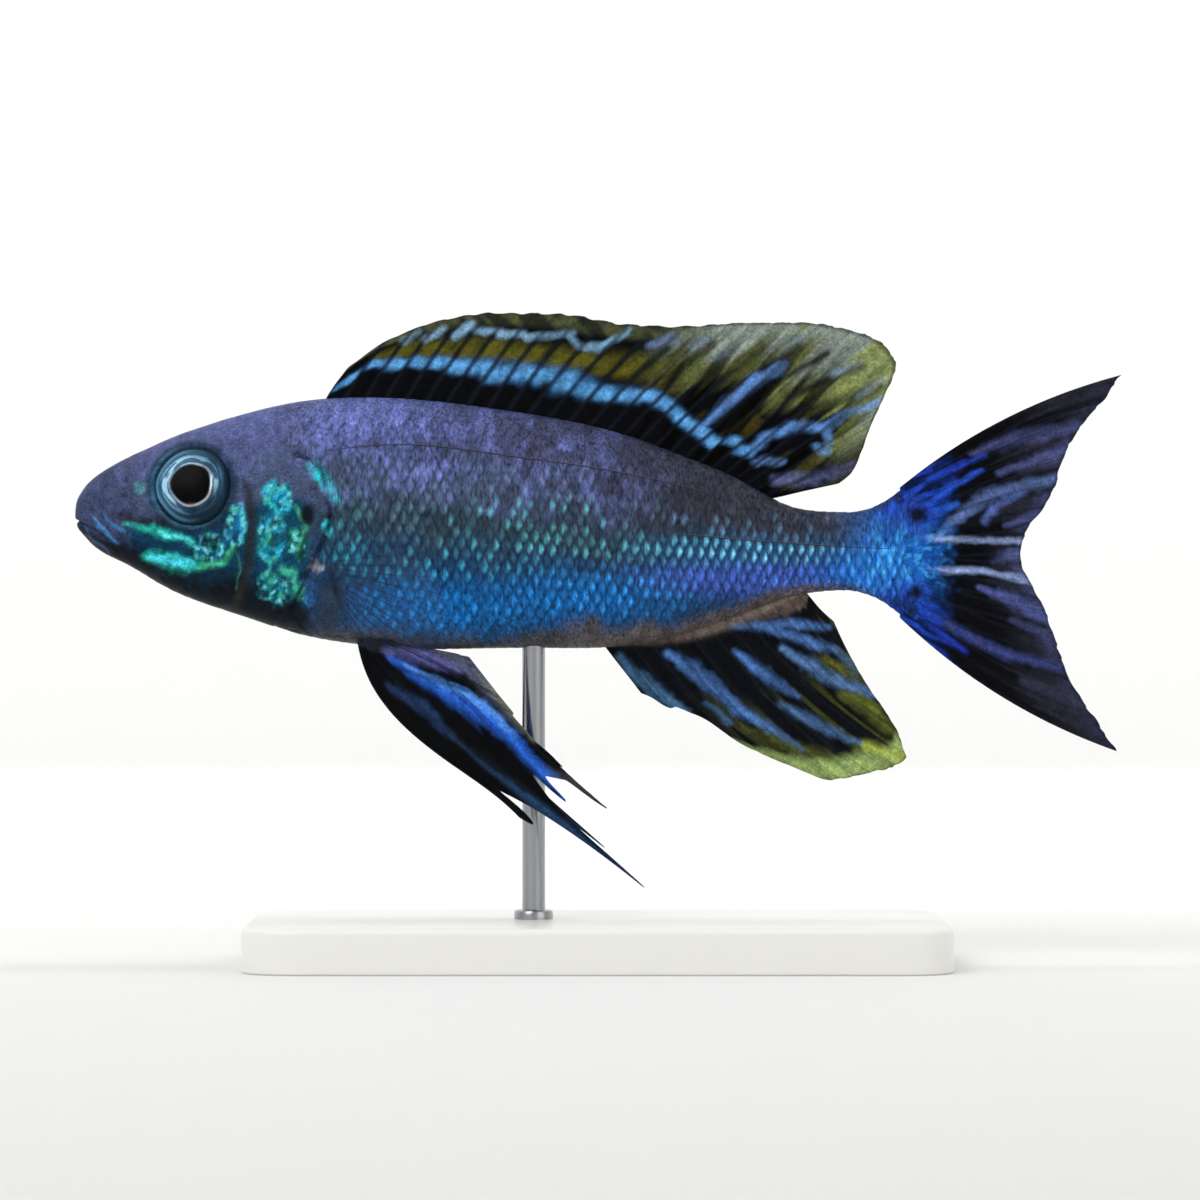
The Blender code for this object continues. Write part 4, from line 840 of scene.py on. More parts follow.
dorsal = {
    "table": (
        (44.1, 48.3, 30.4), (47.6, 54.5, 34.8), (54.6, 64.1, 38.5), (62.3, 73.2, 39.9), (72.8, 85.1, 39.7),
        (83.3, 97.7, 37.8), (90.3, 107.1, 37.5), (97.3, 117.5, 38.1), (104.3, 128.0, 38.2),
        (109.6, 135.8, 36.9), (113.4, 141.6, 34.6), (116.2, 144.0, 30.4), (118.3, 142.1, 25.5),
        (119.6, 139.7, 20.3), (120.5, 138.0, 15.8), (121.1, 136.2, 11.8), (121.5, 133.9, 9.9),
    ),
    "rays": 28, "spines": 14, "rows": 68, "perRay": 12, "crowding": 1.35,
    "membrane": 0.16, "rayFoot": 0.34, "rayTip": 0.08, "rayWidth": 0.11, "sheath": 0.35,
    "wave": 0.9, "waveStep": 0.42, "sink": 0.9,
    "black": "#05060a", "olive": "#57551a", "edgeOlive": "#4a4f34", "greyGreen": "#8e9a91", "lime": "#879256",
    "softOlive": "#585f34", "brown": "#403a14", "sky": "#64aae4", "stripeBlue": "#34659a",
    "oliveBand": ((53.0, 31.8), (60.0, 33.4), (72.0, 33.4), (84.0, 32.0), (96.0, 30.6), (106.0, 30.0)),
    "mainStripe": ((43.4, 25.4), (46.8, 27.5), (49.4, 29.1), (52.5, 30.4), (57.4, 31.0), (65.0, 30.6), (72.3, 29.9),
                   (79.8, 28.9), (87.4, 28.0), (92.3, 25.9), (96.1, 25.2), (101.2, 24.8), (104.0, 23.4),
                   (107.0, 20.6), (109.2, 19.1), (112.0, 17.5), (115.5, 16.6), (118.3, 15.7)),
    "stripeWidth": (0.4, 0.5, 0.6, 0.8, 1.0, 1.4, 1.9, 2.1, 2.0, 1.7, 1.6, 1.5, 1.4, 1.3, 1.3, 1.2, 1.1, 0.9),
    "streaks": (
        (((52.5, 34.1), (55.0, 36.2)), 0.7, "#7794a8", 0.8),
        (((57.6, 34.8), (60.0, 36.4)), 0.7, "#7fa2bc", 0.85), (((61.4, 34.9), (64.6, 36.8)), 0.8, "#7fa2bc", 0.85),
        (((66.6, 35.6), (69.4, 37.6)), 0.8, "#7fa6c4", 0.9), (((70.4, 36.6), (74.4, 36.6)), 0.7, "#7fa6c4", 0.9),
        (((74.6, 35.8), (78.6, 36.2)), 0.8, "#7fa6c4", 0.9), (((79.2, 35.4), (84.6, 35.8), (87.4, 36.2)), 0.7, "#86aed0", 0.95),
        (((86.4, 35.6), (88.4, 34.0), (91.8, 33.6), (95.6, 35.6), (97.4, 37.2)), (0.5, 0.7, 0.8, 0.7, 0.4), "#7fb0d4", 0.95),
        (((100.7, 33.9), (104.7, 35.3)), (0.7, 1.0), "#6f86b8", 0.8), (((108.2, 33.9), (110.6, 35.2)), 0.7, "#7088a8", 0.7),
        (((109.2, 19.4), (113.3, 23.1), (118.9, 27.5), (124.6, 30.8)), (0.8, 1.1, 1.2, 0.9), "#5c86c8", 0.95),
        (((118.3, 15.7), (121.8, 18.3), (125.2, 19.8), (129.2, 19.9), (131.5, 19.8), (133.7, 21.2), (136.5, 22.6),
          (141.6, 24.4)), (1.0, 1.0, 1.1, 1.0, 1.0, 0.9, 0.8, 0.7), "#5f8fd4", 0.95),
        (((131.1, 19.8), (132.7, 17.5), (131.5, 15.4), (129.7, 16.3)), 0.8, "#6596d6", 0.9),
        (((119.6, 13.6), (123.9, 13.8)), (1.0, 0.7), "#5f86c0", 0.9),
        (((122.8, 10.4), (129.2, 10.7), (133.7, 12.1), (136.6, 13.4)), (1.0, 1.5, 1.3, 0.9), "#5c6590", 0.95),
        (((133.0, 29.0), (137.6, 30.8)), 0.8, "#7c93a8", 0.7), (((137.4, 25.4), (141.8, 28.0)), 0.7, "#7c93a8", 0.6),
        (((112.0, 31.6), (116.0, 34.4)), 0.6, "#64788c", 0.6), (((122.0, 33.4), (127.0, 35.6)), 0.6, "#64788c", 0.5),
    ),
    "shadows": (
        (((112.0, 27.0), (121.0, 33.6)), 0.8), (((116.0, 26.6), (127.0, 33.8)), 0.8), (((121.4, 27.0), (132.0, 32.6)), 0.7),
        (((125.0, 25.0), (138.0, 30.4)), 0.8), (((104.0, 28.4), (112.0, 34.6)), 0.7), (((128.0, 22.6), (141.0, 26.4)), 1.1),
        (((98.0, 28.4), (104.0, 33.4)), 0.7),
    ),
}


def dorsalColour(d, h, ray, s):
    looks = dorsal
    gaps = between(ray)
    block = softNoise(np.floor(ray) * 3.7 + 5, 0 * ray)
    spiny = 1 - smoothStep(12.0, 15.5, ray)
    comb = 0.45 * combed(ray, s, 17, 1.3, 1.6) + 0.55 * combed(ray, s, 23, 4.3, 1.4)
    colour = np.zeros(d.shape + (3,)) + light(looks["black"])
    band = streak(d, h, looks["oliveBand"], (1.2, 2.6, 3.2, 3.2, 3.6, 2.4))
    colour = paint(colour, 1.5 * band * (0.1 + 0.9 * gaps) * (0.25 + 0.75 * combed(ray, s, 5, 2.6, 9)), looks["olive"], 1.0)
    strokes = 0.3 + 0.7 * smoothStep(0.36, 0.60, combed(ray + 6 * s, s, 8, 3.1, 3))
    colour = paint(colour, spiny * smoothStep(0.80, 0.9, s) * strokes, looks["edgeOlive"], 0.9)
    patches = (1 - spiny) * smoothStep(0.48, 0.66, combed(ray, s, 31, 1.3, 6)) * smoothStep(0.15, 0.3, s)
    colour = paint(colour, patches * (0.4 + 0.6 * comb), looks["brown"], 0.9)
    ahead = 1 - smoothStep(24.4, 26.2, ray)
    colour = paint(colour, (1 - spiny) * ahead * smoothStep(0.44, 0.60, s + 0.45 * (comb - 0.5)), looks["softOlive"], 0.9)
    colour = paint(colour, (1 - spiny) * ahead * smoothStep(0.64, 0.84, s + 0.45 * (comb - 0.5)), looks["greyGreen"], 0.95)
    rear = smoothStep(16, 19, ray) * ahead * smoothStep(0.5, 0.7, s + 0.4 * (comb - 0.5))
    colour = paint(colour, rear * smoothStep(0.42, 0.62, combed(ray, s, 44, 1.7, 1.4)), looks["lime"], 0.9)
    dark = 1 - 0.85 * (1 - spiny) * smoothStep(0.55, 0.34, combed(ray + 2 * s, s, 77, 2.6, 1.1)) * smoothStep(1.0, 0.6, s)
    colour = colour * dark[..., None]
    for path, width in looks["shadows"]:
        colour = paint(colour, streak(d, h, path, width, swell=1.8) * (0.3 + 0.9 * comb), "#0d0f0c", 0.95)
    low = h + 1.3 * (block - 0.5) + 0.5 * (flecks(d, h, 1.4, 60) - 0.5)
    swell = (0.8 + 0.3 * block) * (0.75 + 0.5 * flecks(d, h, 1.2, 33))
    stripe = streak(d, low, looks["mainStripe"], looks["stripeWidth"], 1.0, 1.6 * swell)
    core = streak(d, low, looks["mainStripe"], looks["stripeWidth"], 1.0, 1.2 * swell)
    gaps = gaps * (0.45 + 0.55 * smoothStep(0.2, 0.6, combed(ray + 0.12 * h, s, 70, 3.0, 2)))
    colour = paint(colour, 1.2 * stripe * (0.4 + 0.6 * gaps), looks["stripeBlue"], 1.0)
    bright = np.minimum(core * 1.5, 1) * gaps * (0.2 + 1.1 * flecks(d, h, 1.2, 6))
    colour = paint(colour, bright, looks["sky"], 1.0)
    colour = paintStreaks(colour, d, h, looks["streaks"], (0.4 + 0.6 * gaps) * (0.55 + 0.8 * comb), 0.5, 1.5)
    return paint(colour, smoothStep(0.965, 0.99, s), "#252a22", 0.8)


def buildDorsal(material):
    looks = dorsal
    table = np.array(looks["table"])
    tipX, tipZ = gentleThrough(table[:, 0], table[:, 1]), gentleThrough(table[:, 0], table[:, 2])
    soft = 93.4 + (121.5 - 93.4) * (1 - (1 - np.linspace(0, 1, 14)) ** looks["crowding"])
    feet = gentleThrough(np.arange(28), np.concatenate([np.linspace(44.1, 90.3, 14), soft]))

    def foot(ray):
        d = feet(ray)
        return d - 0.2, section(d)[0] - looks["sink"]

    looks["bow"] = lambda ray: 0.035 * (1 - ray / 28)
    looks["reach"] = notched(lambda ray: 0.012 * (1 - smoothStep(12, 15, ray)) + 0.004, 0.008)
    pointAt = medianFin(looks, foot, lambda ray: (tipX(feet(ray)), tipZ(feet(ray))))
    return buildFin("dorsalFin", looks, pointAt, dorsalColour, material)


anal = {
    "table": (
        (92.6, 99.3, -26.8), (94.9, 103.9, -29.3), (97.2, 109.0, -30.7), (100.6, 117.4, -36.0),
        (104.0, 125.0, -39.4), (107.4, 132.6, -42.1), (110.6, 138.3, -41.2), (113.5, 142.8, -40.0),
        (116.2, 145.8, -38.3), (119.2, 144.4, -33.8), (122.0, 142.0, -29.8), (124.6, 138.8, -25.2),
        (126.5, 135.8, -20.0), (127.9, 133.0, -14.2),
    ),
    "rays": 14, "spines": 3, "rows": 68, "perRay": 16,
    "membrane": 0.16, "rayFoot": 0.38, "rayTip": 0.09, "rayWidth": 0.10, "sheath": 0.35,
    "wave": 0.8, "waveStep": 0.6, "wavePhase": 0.5,
    "black": "#0a0c10", "rootBrown": "#544a45", "oliveDark": "#3f4316", "lime": "#92a965",
    "limeEdge": ((113.5, -34.6), (118.0, -37.0), (124.0, -39.4), (131.0, -40.8), (139.0, -39.8), (144.6, -38.0), (144.8, -34.6)),
    "streaks": (
        (((95.6, -20.6), (98.6, -23.8), (103.0, -27.6), (107.5, -29.9)), (0.9, 1.3, 1.2, 0.7), "#41688e", 0.95),
        (((104.0, -20.0), (108.0, -22.6), (112.2, -26.0), (115.7, -29.2), (121.0, -32.4), (127.5, -36.6)),
         (0.9, 1.6, 1.5, 1.2, 1.0, 0.5), "#4f7bbd", 0.98),
        (((115.8, -19.8), (121.0, -23.4), (126.6, -27.6)), (0.7, 1.3, 0.7), "#4a72b0", 0.95),
        (((124.0, -19.0), (128.7, -21.7), (131.6, -24.0), (137.4, -26.1), (141.0, -27.8)), (0.7, 1.3, 1.2, 1.0, 0.6), "#5c84ba", 0.95),
        (((114.6, -15.0), (125.7, -14.7), (132.2, -15.2)), (0.6, 1.1, 0.7), "#4f78b8", 0.9),
        (((121.6, -15.6), (128.0, -17.5), (133.2, -19.4)), (0.7, 1.2, 0.8), "#4f78b8", 0.9),
        (((133.0, -19.0), (136.8, -23.2)), (0.7, 0.9), "#54759c", 0.8),
        (((123.6, -28.8), (128.0, -31.1), (133.9, -34.1), (138.0, -35.6)), (0.6, 1.1, 1.0, 0.5), "#4f74a6", 0.9),
        (((110.6, -28.6), (114.6, -31.8)), (0.5, 0.8), "#3f628e", 0.7),
        (((131.0, -20.8), (135.8, -23.1), (139.0, -25.0)), (0.6, 0.9, 0.7), "#5c5f24", 0.85),
        (((134.5, -27.0), (139.5, -29.6), (142.6, -33.2)), (0.9, 1.6, 1.3), "#737d2c", 0.9),
        (((117.0, -32.6), (124.0, -35.8), (132.0, -37.6)), (0.8, 1.3, 1.0), "#4b5224", 0.8),
        (((139.0, -36.0), (144.8, -38.0)), (1.2, 1.3), "#aebb4c", 0.95),
    ),
}


def analColour(d, h, ray, s):
    looks = anal
    comb = 0.45 * combed(ray, s, 61, 1.4, 2.5) + 0.55 * combed(ray, s, 12, 4.6, 2.0)
    colour = np.zeros(d.shape + (3,)) + light(looks["black"])
    olive = smoothStep(0.46, 0.62, comb) * smoothStep(0.35, 0.6, s) * smoothStep(2.5, 4.5, ray)
    colour = paint(colour, olive, looks["oliveDark"], 0.9)
    lime = streak(d, h, looks["limeEdge"], (1.0, 2.2, 3.4, 4.4, 5.4, 5.0, 2.4))
    colour = paint(colour, np.clip(1.7 * lime - 0.7 * (1 - comb), 0, 1), looks["lime"], 1.0)
    colour = colour * (0.75 + 0.5 * combed(ray, s, 90, 5.2, 2.4))[..., None]
    mottle = (0.2 + 1.15 * comb) * (0.8 + 0.2 * between(ray))
    colour = paintStreaks(colour, d, h, looks["streaks"], mottle, 0.5, 1.5)
    pale = bell(s - 0.035, 0.022) * smoothStep(3, 6, ray)
    root = 1 - smoothStep(0.02, 0.08, s - 0.14 * smoothStep(7, 13, ray) * (0.5 + comb))
    colour = paint(colour, root, looks["rootBrown"], 0.95)
    colour = paint(colour, pale, "#85776e", 0.6)
    return paint(colour, smoothStep(0.97, 0.995, s), "#33381f", 0.6)


def buildAnal(material):
    looks = anal
    table = np.array(looks["table"])
    feet, tipX, tipZ = (gentleThrough(np.arange(len(table)), column) for column in table.T)

    def foot(ray):
        d = feet(ray)
        return d, section(d)[1] + 0.9

    looks["bow"] = lambda ray: -0.04 * np.minimum(ray / 3, 1)
    looks["reach"] = notched(lambda ray: 0.05 * (1 - smoothStep(2, 3.5, ray)) + 0.005, 0.01)
    pointAt = medianFin(looks, foot, lambda ray: (tipX(ray), tipZ(ray)))
    return buildFin("analFin", looks, pointAt, analColour, material)


tail = {
    "tips": (
        (183.4, 28.9), (181.0, 25.2), (177.8, 21.5), (175.2, 18.0), (173.3, 14.0), (172.0, 9.6), (169.8, 5.4),
        (166.6, 1.2), (165.8, -3.2), (167.6, -7.6), (170.0, -12.0), (171.7, -16.8), (173.5, -21.9),
        (176.1, -27.1), (179.2, -31.6), (182.9, -37.1),
    ),
    "root": (9.2, -13.6), "rays": 16, "spines": 0, "rows": 76, "perRay": 16,
    "membrane": 0.16, "rayFoot": 0.42, "rayTip": 0.10, "rayWidth": 0.11, "sheath": 0.3,
    "wave": 0.9, "waveStep": 0.5,
    "black": "#08090d", "grey": "#2a2b36",
    "streaks": (
        (((146.0, 8.4), (152.0, 11.6), (159.6, 14.8)), (0.5, 0.8, 0.5), "#2440b8", 0.95),
        (((149.6, 6.6), (153.5, 9.4), (159.0, 12.2)), (0.7, 0.8, 0.5), "#2a56d0", 0.95),
        (((150.6, 4.6), (154.6, 6.2)), (1.0, 0.6), "#2c60c8", 0.9),
        (((157.0, 15.0), (164.0, 17.4), (175.8, 20.0)), (0.6, 1.4, 1.2), "#454b78", 0.9),
        (((162.0, 11.6), (168.6, 13.8), (175.2, 16.4)), (0.6, 1.1, 1.0), "#50578a", 0.85),
        (((152.0, 1.4), (156.0, 5.0), (160.5, 7.9), (171.8, 10.5)), (0.8, 1.2, 1.3, 1.1), "#566a9e", 0.95),
        (((159.4, 3.2), (161.7, 6.3), (166.0, 8.2)), (0.8, 1.0, 0.8), "#5468ac", 0.8),
        (((163.0, 2.6), (169.6, 4.6)), (0.5, 0.8), "#4b5488", 0.75),
        (((149.0, 0.4), (156.0, 0.0), (166.4, -0.2)), (0.7, 0.6, 0.6), "#92a6d4", 1.0),
        (((148.6, -5.2), (158.8, -5.4), (168.4, -7.4)), (0.7, 0.6, 0.7), "#8ea2d2", 1.0),
        (((161.0, -3.2), (167.0, -2.4)), (0.8, 1.3), "#5a66a0", 0.75),
        (((158.4, -8.2), (164.6, -10.8), (171.0, -13.8)), (0.5, 1.4, 1.3), "#525d9a", 0.9),
        (((164.0, -14.0), (172.2, -17.6)), (0.6, 1.1), "#454b76", 0.8),
        (((149.5, -12.6), (156.0, -16.4), (163.3, -20.0), (173.4, -22.6)), (0.7, 1.0, 1.0, 0.8), "#38437c", 0.9),
        (((146.6, -12.6), (150.0, -15.0), (156.0, -19.4)), (0.6, 0.8, 0.5), "#2236a4", 0.95),
        (((166.0, -24.6), (177.0, -28.4)), (0.8, 1.2), "#34374a", 0.8),
    ),
}


def tailColour(d, h, ray, s):
    looks = tail
    comb = 0.45 * combed(ray, s, 7, 1.5, 2.4) + 0.55 * combed(ray, s, 23, 4.4, 2.0)
    colour = np.zeros(d.shape + (3,)) + light(looks["black"])
    grey = smoothStep(0.62, 0.95, s + 0.5 * (comb - 0.5))
    colour = paint(colour, grey * (0.3 + 0.7 * comb), looks["grey"], 0.9)
    colour = paint(colour, smoothStep(0.84, 0.97, s) * bell(h + 3, 24) * smoothStep(0.35, 0.6, comb), "#4a5080", 0.6)
    mottle = (0.55 + 0.85 * comb) * (0.8 + 0.2 * between(ray))
    colour = paintStreaks(colour, d, h, looks["streaks"], mottle, 0.4, 1.6)
    colour = paint(colour, blob(d, h, (157.4, -2.8), (7.0, 2.1), 0.6), "#040508", 0.95)
    colour = paintRoot(colour, d, h)
    return paint(colour, smoothStep(0.965, 0.99, s), "#22242c", 0.7)


def buildTail(material):
    looks = tail
    tips = np.array(looks["tips"])
    last = len(tips) - 1
    tipX, tipZ = (gentleThrough(np.arange(last + 1), column) for column in tips.T)
    high, low = looks["root"]

    def foot(ray):
        return 144.6 + 0 * ray, high + (low - high) * ray / last

    looks["bow"] = lambda ray: 0.055 * (1 - 2 * ray / last)
    looks["reach"] = notched(lambda ray: 0.006 + 0 * ray, 0.01)
    pointAt = medianFin(looks, foot, lambda ray: (tipX(ray), tipZ(ray)))
    return buildFin("tailFin", looks, pointAt, tailColour, material)


pelvic = {
    "table": (  # distance and height of a tip, how far out it reaches, and the ray's bow
        (78.1, -48.3, 8.0, -0.1), (99.8, -60.3, 11.0, -0.035), (86.0, -45.2, 10.0, 0.065),
        (93.3, -46.6, 9.5, 0.07), (84.7, -38.5, 8.5, 0.06), (76.0, -28.8, 7.0, 0.03), (69.3, -20.4, 5.0, 0.0),
    ),
    "clefts": (0.68, 0.72, 0.85, 0.84, 0.95, 1.0), "root": (49.7, 55.4), "offset": 3.4, "belly": 1.2,
    "rightSize": 0.86, "rays": 7, "spines": 1, "rows": 76, "perRay": 24,
    "membrane": 0.15, "rayFoot": 0.40, "rayTip": 0.14, "rayWidth": 0.085, "sheath": 0.4,
    "black": "#07080b",
    "streaks": (
        (((55.6, -20.4), (61.3, -24.3), (66.8, -27.4), (71.7, -29.9), (76.0, -33.6), (79.7, -37.9), (83.4, -41.6), (86.6, -45.6)),
         (0.7, 1.1, 1.4, 1.5, 1.3, 1.1, 0.9, 0.5), "#2a62cc", 1.0),
        (((58.0, -21.8), (64.0, -24.6), (69.6, -27.2), (74.0, -30.6), (78.4, -35.4)), (0.3, 0.6, 0.8, 0.7, 0.3), "#5c9cf4", 1.0),
        (((55.2, -25.4), (61.3, -29.3), (66.4, -34.4)), (0.6, 1.1, 0.7), "#263f6a", 0.9),
        (((66.0, -34.0), (74.0, -40.6), (82.0, -46.6), (90.0, -52.8), (98.0, -58.8)), (0.3, 0.5, 0.9, 0.9, 0.5), "#223f62", 0.9),
        (((55.0, -19.4), (61.3, -20.4), (67.4, -22.2)), (0.8, 1.4, 1.4), "#5a5c96", 1.0),
        (((64.0, -19.2), (69.0, -21.4), (72.4, -26.0), (77.4, -31.4)), (1.2, 1.6, 1.4, 0.9), "#555a70", 0.95),
        (((72.2, -24.6), (76.0, -29.2), (80.4, -34.6)), (0.9, 1.0, 0.7), "#6b7060", 0.85),
        (((83.0, -39.9), (88.6, -42.9), (93.3, -46.5)), (0.7, 0.7, 0.5), "#3e4046", 0.9),
        (((57.0, -22.2), (64.0, -24.6), (69.4, -26.6)), (0.3, 0.45, 0.3), "#07080b", 0.8),
    ),
}


def pelvicColour(d, h, ray, s):
    looks = pelvic
    colour = np.zeros(d.shape + (3,)) + light(looks["black"])
    mottle = 0.5 + 0.9 * combed(ray, s, 31, 6.0, 4)
    return paintStreaks(colour, d, h, looks["streaks"], mottle, 0.4, 1.6)


def buildPelvic(name, hand, size, material):
    looks = pelvic
    table = np.array(looks["table"])
    last = len(table) - 1
    tipX, tipZ, tipY, bow = (gentleThrough(np.arange(last + 1), column) for column in table.T)
    first, final = looks["root"]

    def fanAt(fanSize):  # as the median fins, with an outward belly, 6.75 s (1 - s)^2, that peaks at a third
        def pointAt(ray, share):
            near = np.round(ray)
            ray = near + (ray - near) * (1 - 0.45 * share**2 * smoothStep(0.0, 0.45, np.abs(ray - near)))
            ax = first + (final - first) * ray / last
            back, belly, width = section(ax)
            waist = belly + trunk["waist"] * (back - belly)
            roundness = trunk["bellyRoundness"]
            az = waist - (waist - belly) * (1 - (looks["offset"] / width) ** roundness) ** (1 / roundness) + 0.2
            ay = looks["offset"]
            rx, ry, rz = fanSize * (tipX(ray) - ax), fanSize * (tipY(ray) - ay), fanSize * (tipZ(ray) - az)
            curve = 6.75 * share * (1 - share) ** 2
            x = ax + rx * share - rz * bow(ray) * curve
            y = ay + ry * share + looks["belly"] * curve
            z = az + rz * share + rx * bow(ray) * curve
            return np.stack(np.broadcast_arrays(x, hand * y, z), axis=-1)

        return pointAt

    clefts = np.array(looks["clefts"])

    def reach(ray):
        depth = 1 - clefts[np.clip(np.floor(ray).astype(int), 0, len(clefts) - 1)]
        return 1 - depth * smoothStep(0.08, 0.5, np.abs(ray - np.round(ray)))

    looks["reach"] = reach
    return buildFin(name, looks, fanAt(size), pelvicColour, material, fanAt(1.0))


pectoral = {
    "root": ((44.6, -4.0), (46.0, -9.2)), "lengths": (17.0, 24.0, 26.5, 24.0, 19.0, 13.0), "spread": (6.0, -62.0),
    "outward": 47.0, "lean": 13.0, "rays": 12, "spines": 0, "rows": 40, "perRay": 8,
    "membrane": 0.07, "rayFoot": 0.0, "rayTip": 0.0, "rayWidth": 0.12, "sheath": 0.25,
    "rayRadius": (0.24, 0.07), "forkFrom": 0.5,
    "clear": {"Roughness": 0.3, "Alpha": 0.06, "Specular IOR Level": 0.1},
    "bone": {"Roughness": 0.4, "Alpha": 0.12, "Specular IOR Level": 0.1},
}


def pectoralPoint(hand):  # straight rays in a fan, leaning back towards the body by share
    looks = pectoral
    count = looks["rays"]
    spread = np.radians(looks["spread"])
    length = gentleThrough(np.linspace(0, count - 1, len(looks["lengths"])), looks["lengths"])
    (x0, z0), (x1, z1) = looks["root"]

    def pointAt(ray, share):
        place = ray / (count - 1)
        x, z = x0 + (x1 - x0) * place, z0 + (z1 - z0) * place
        turn = spread[0] + (spread[1] - spread[0]) * place
        lean = np.radians(looks["outward"] - looks["lean"] * share)
        run = length(ray) * share
        points = (
            x + run * np.cos(turn) * np.cos(lean),
            hand * (sideWidth(x, z) - 0.3 + run * np.sin(lean)),
            z + run * np.sin(turn) * np.cos(lean),
        )
        return np.stack(np.broadcast_arrays(*points), axis=-1)

    return pointAt


def buildPectoralWeb(name, hand, material):
    pectoral["reach"] = notched(lambda ray: 0.012 + 0 * ray, 0.012)
    shade = lambda d, h, ray, s: np.zeros(d.shape + (3,)) + light("#6f7c90")
    return buildFin(name, pectoral, pectoralPoint(hand), shade, material)


def buildPectoralRays(name, hand, material):  # tubes on the fin's surface, each forking into two towards the margin
    looks = pectoral
    ray = np.repeat(np.arange(looks["rays"]), 2)[:, None]
    fork = np.tile([-1.0, 1.0], looks["rays"])[:, None]
    share = np.linspace(0.0, 0.985, 26)[None, :]
    place = np.clip(ray + fork * 0.16 * smoothStep(looks["forkFrom"], 1.0, share), 0, looks["rays"] - 1)
    start, end = looks["rayRadius"]
    line = pectoralPoint(hand)(place, share + 0 * place)
    tubes, quads, caps, _ = sweptTubes(line, start + (end - start) * share, 6)
    return makePiece(name, tubes, quads, caps, None, material)


# Stand: a rounded plate and a steel rod with a collar

stand = {
    "corner": 9.0, "bevel": 1.2, "arc": 14,
    "rodDistance": 80.5, "rodRadius": 2.0, "collarRadius": 3.4, "collarHeight": 1.6,
    "plate": {"colour": "#e4e3df", "shader": {"Roughness": 0.38, "Coat Weight": 0.15}},
    "steel": {"colour": "#9a9ca0", "shader": {"Roughness": 0.25, "Metallic": 1.0}},
}


def buildPlate(material):  # a profile of inset and height, carried round a rectangle with round corners
    looks = stand
    half = (baseHigh - baseLow)[:2] / 2
    arc = np.linspace(0, math.pi / 2, looks["arc"])
    centres = np.array([(1, 1), (-1, 1), (-1, -1), (1, -1)]) * (half - looks["corner"])
    turns = arc[None, :] + np.arange(4)[:, None] * math.pi / 2
    outward = np.stack([np.cos(turns), np.sin(turns)], axis=-1)
    bevel = np.linspace(0, math.pi / 2, 7)
    inset = np.concatenate([[1.5, 0.3, 0.0], looks["bevel"] * (1 - np.cos(bevel)), [looks["corner"] * 0.9]])
    top = baseHigh[2]
    height = np.concatenate([[0.0, 0.0, 0.3], top - looks["bevel"] + looks["bevel"] * np.sin(bevel), [top]])
    ring = centres[:, None, :] + outward * (looks["corner"] - inset[:, None, None, None])
    rows, columns = len(inset), 4 * looks["arc"]
    flat = ring.reshape(rows, columns, 2)
    grid = np.concatenate([flat, np.broadcast_to(height[:, None, None], (rows, columns, 1))], axis=-1)
    points = np.concatenate([grid.reshape(-1, 3), [[0, 0, 0], [0, 0, top]]]) - (snoutX, 0, axisZ)
    piece = makePiece("standPlate", points, *tubeFaces(rows, columns, flip=True), None, material)
    piece.data.set_sharp_from_angle(angle=math.radians(35))
    return piece


def buildRod(material):  # a turned profile of radii and heights, the collar first
    looks = stand
    floor = baseHigh[2] - axisZ
    belly = section(looks["rodDistance"])[1]
    rod, collar, rise = looks["rodRadius"], looks["collarRadius"], looks["collarHeight"]
    radius = np.array([collar, collar, collar - 0.15, collar - 0.5, rod + 0.1, rod, rod, rod])
    height = floor + np.array([-0.1, rise - 0.5, rise - 0.15, rise, rise, rise + 0.1, belly - floor - 4, belly - floor + 0.6])
    turn = np.arange(48) * 2 * math.pi / 48
    x = looks["rodDistance"] + radius[:, None] * np.cos(turn)
    y = radius[:, None] * np.sin(turn)
    grid = np.stack([x, y, np.broadcast_to(height[:, None], x.shape)], axis=-1)
    poles = [[looks["rodDistance"], 0, height[0]], [looks["rodDistance"], 0, height[-1]]]
    points = np.concatenate([grid.reshape(-1, 3), poles])
    piece = makePiece("standRod", points, *tubeFaces(*x.shape, flip=True), None, material)
    piece.data.set_sharp_from_angle(angle=math.radians(35))
    return piece


# Assembly

skin = buildSkin()
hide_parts("head", "lower_jaw", "gill_cover_left", "gill_cover_right", "torso", "tail_stem")
print("skin:", len(skin.data.polygons), "faces")

scaleMaterial = finishMaterial("scaleShine", scaleLooks)
scalesLeft = buildScales("scalesLeft", -1.0, scaleLooks, scaledRegion, scaleMaterial)
scalesRight = buildScales("scalesRight", 1.0, scaleLooks, scaledRegion, scaleMaterial)
print("scales:", len(scalesLeft.data.polygons), "faces a side")

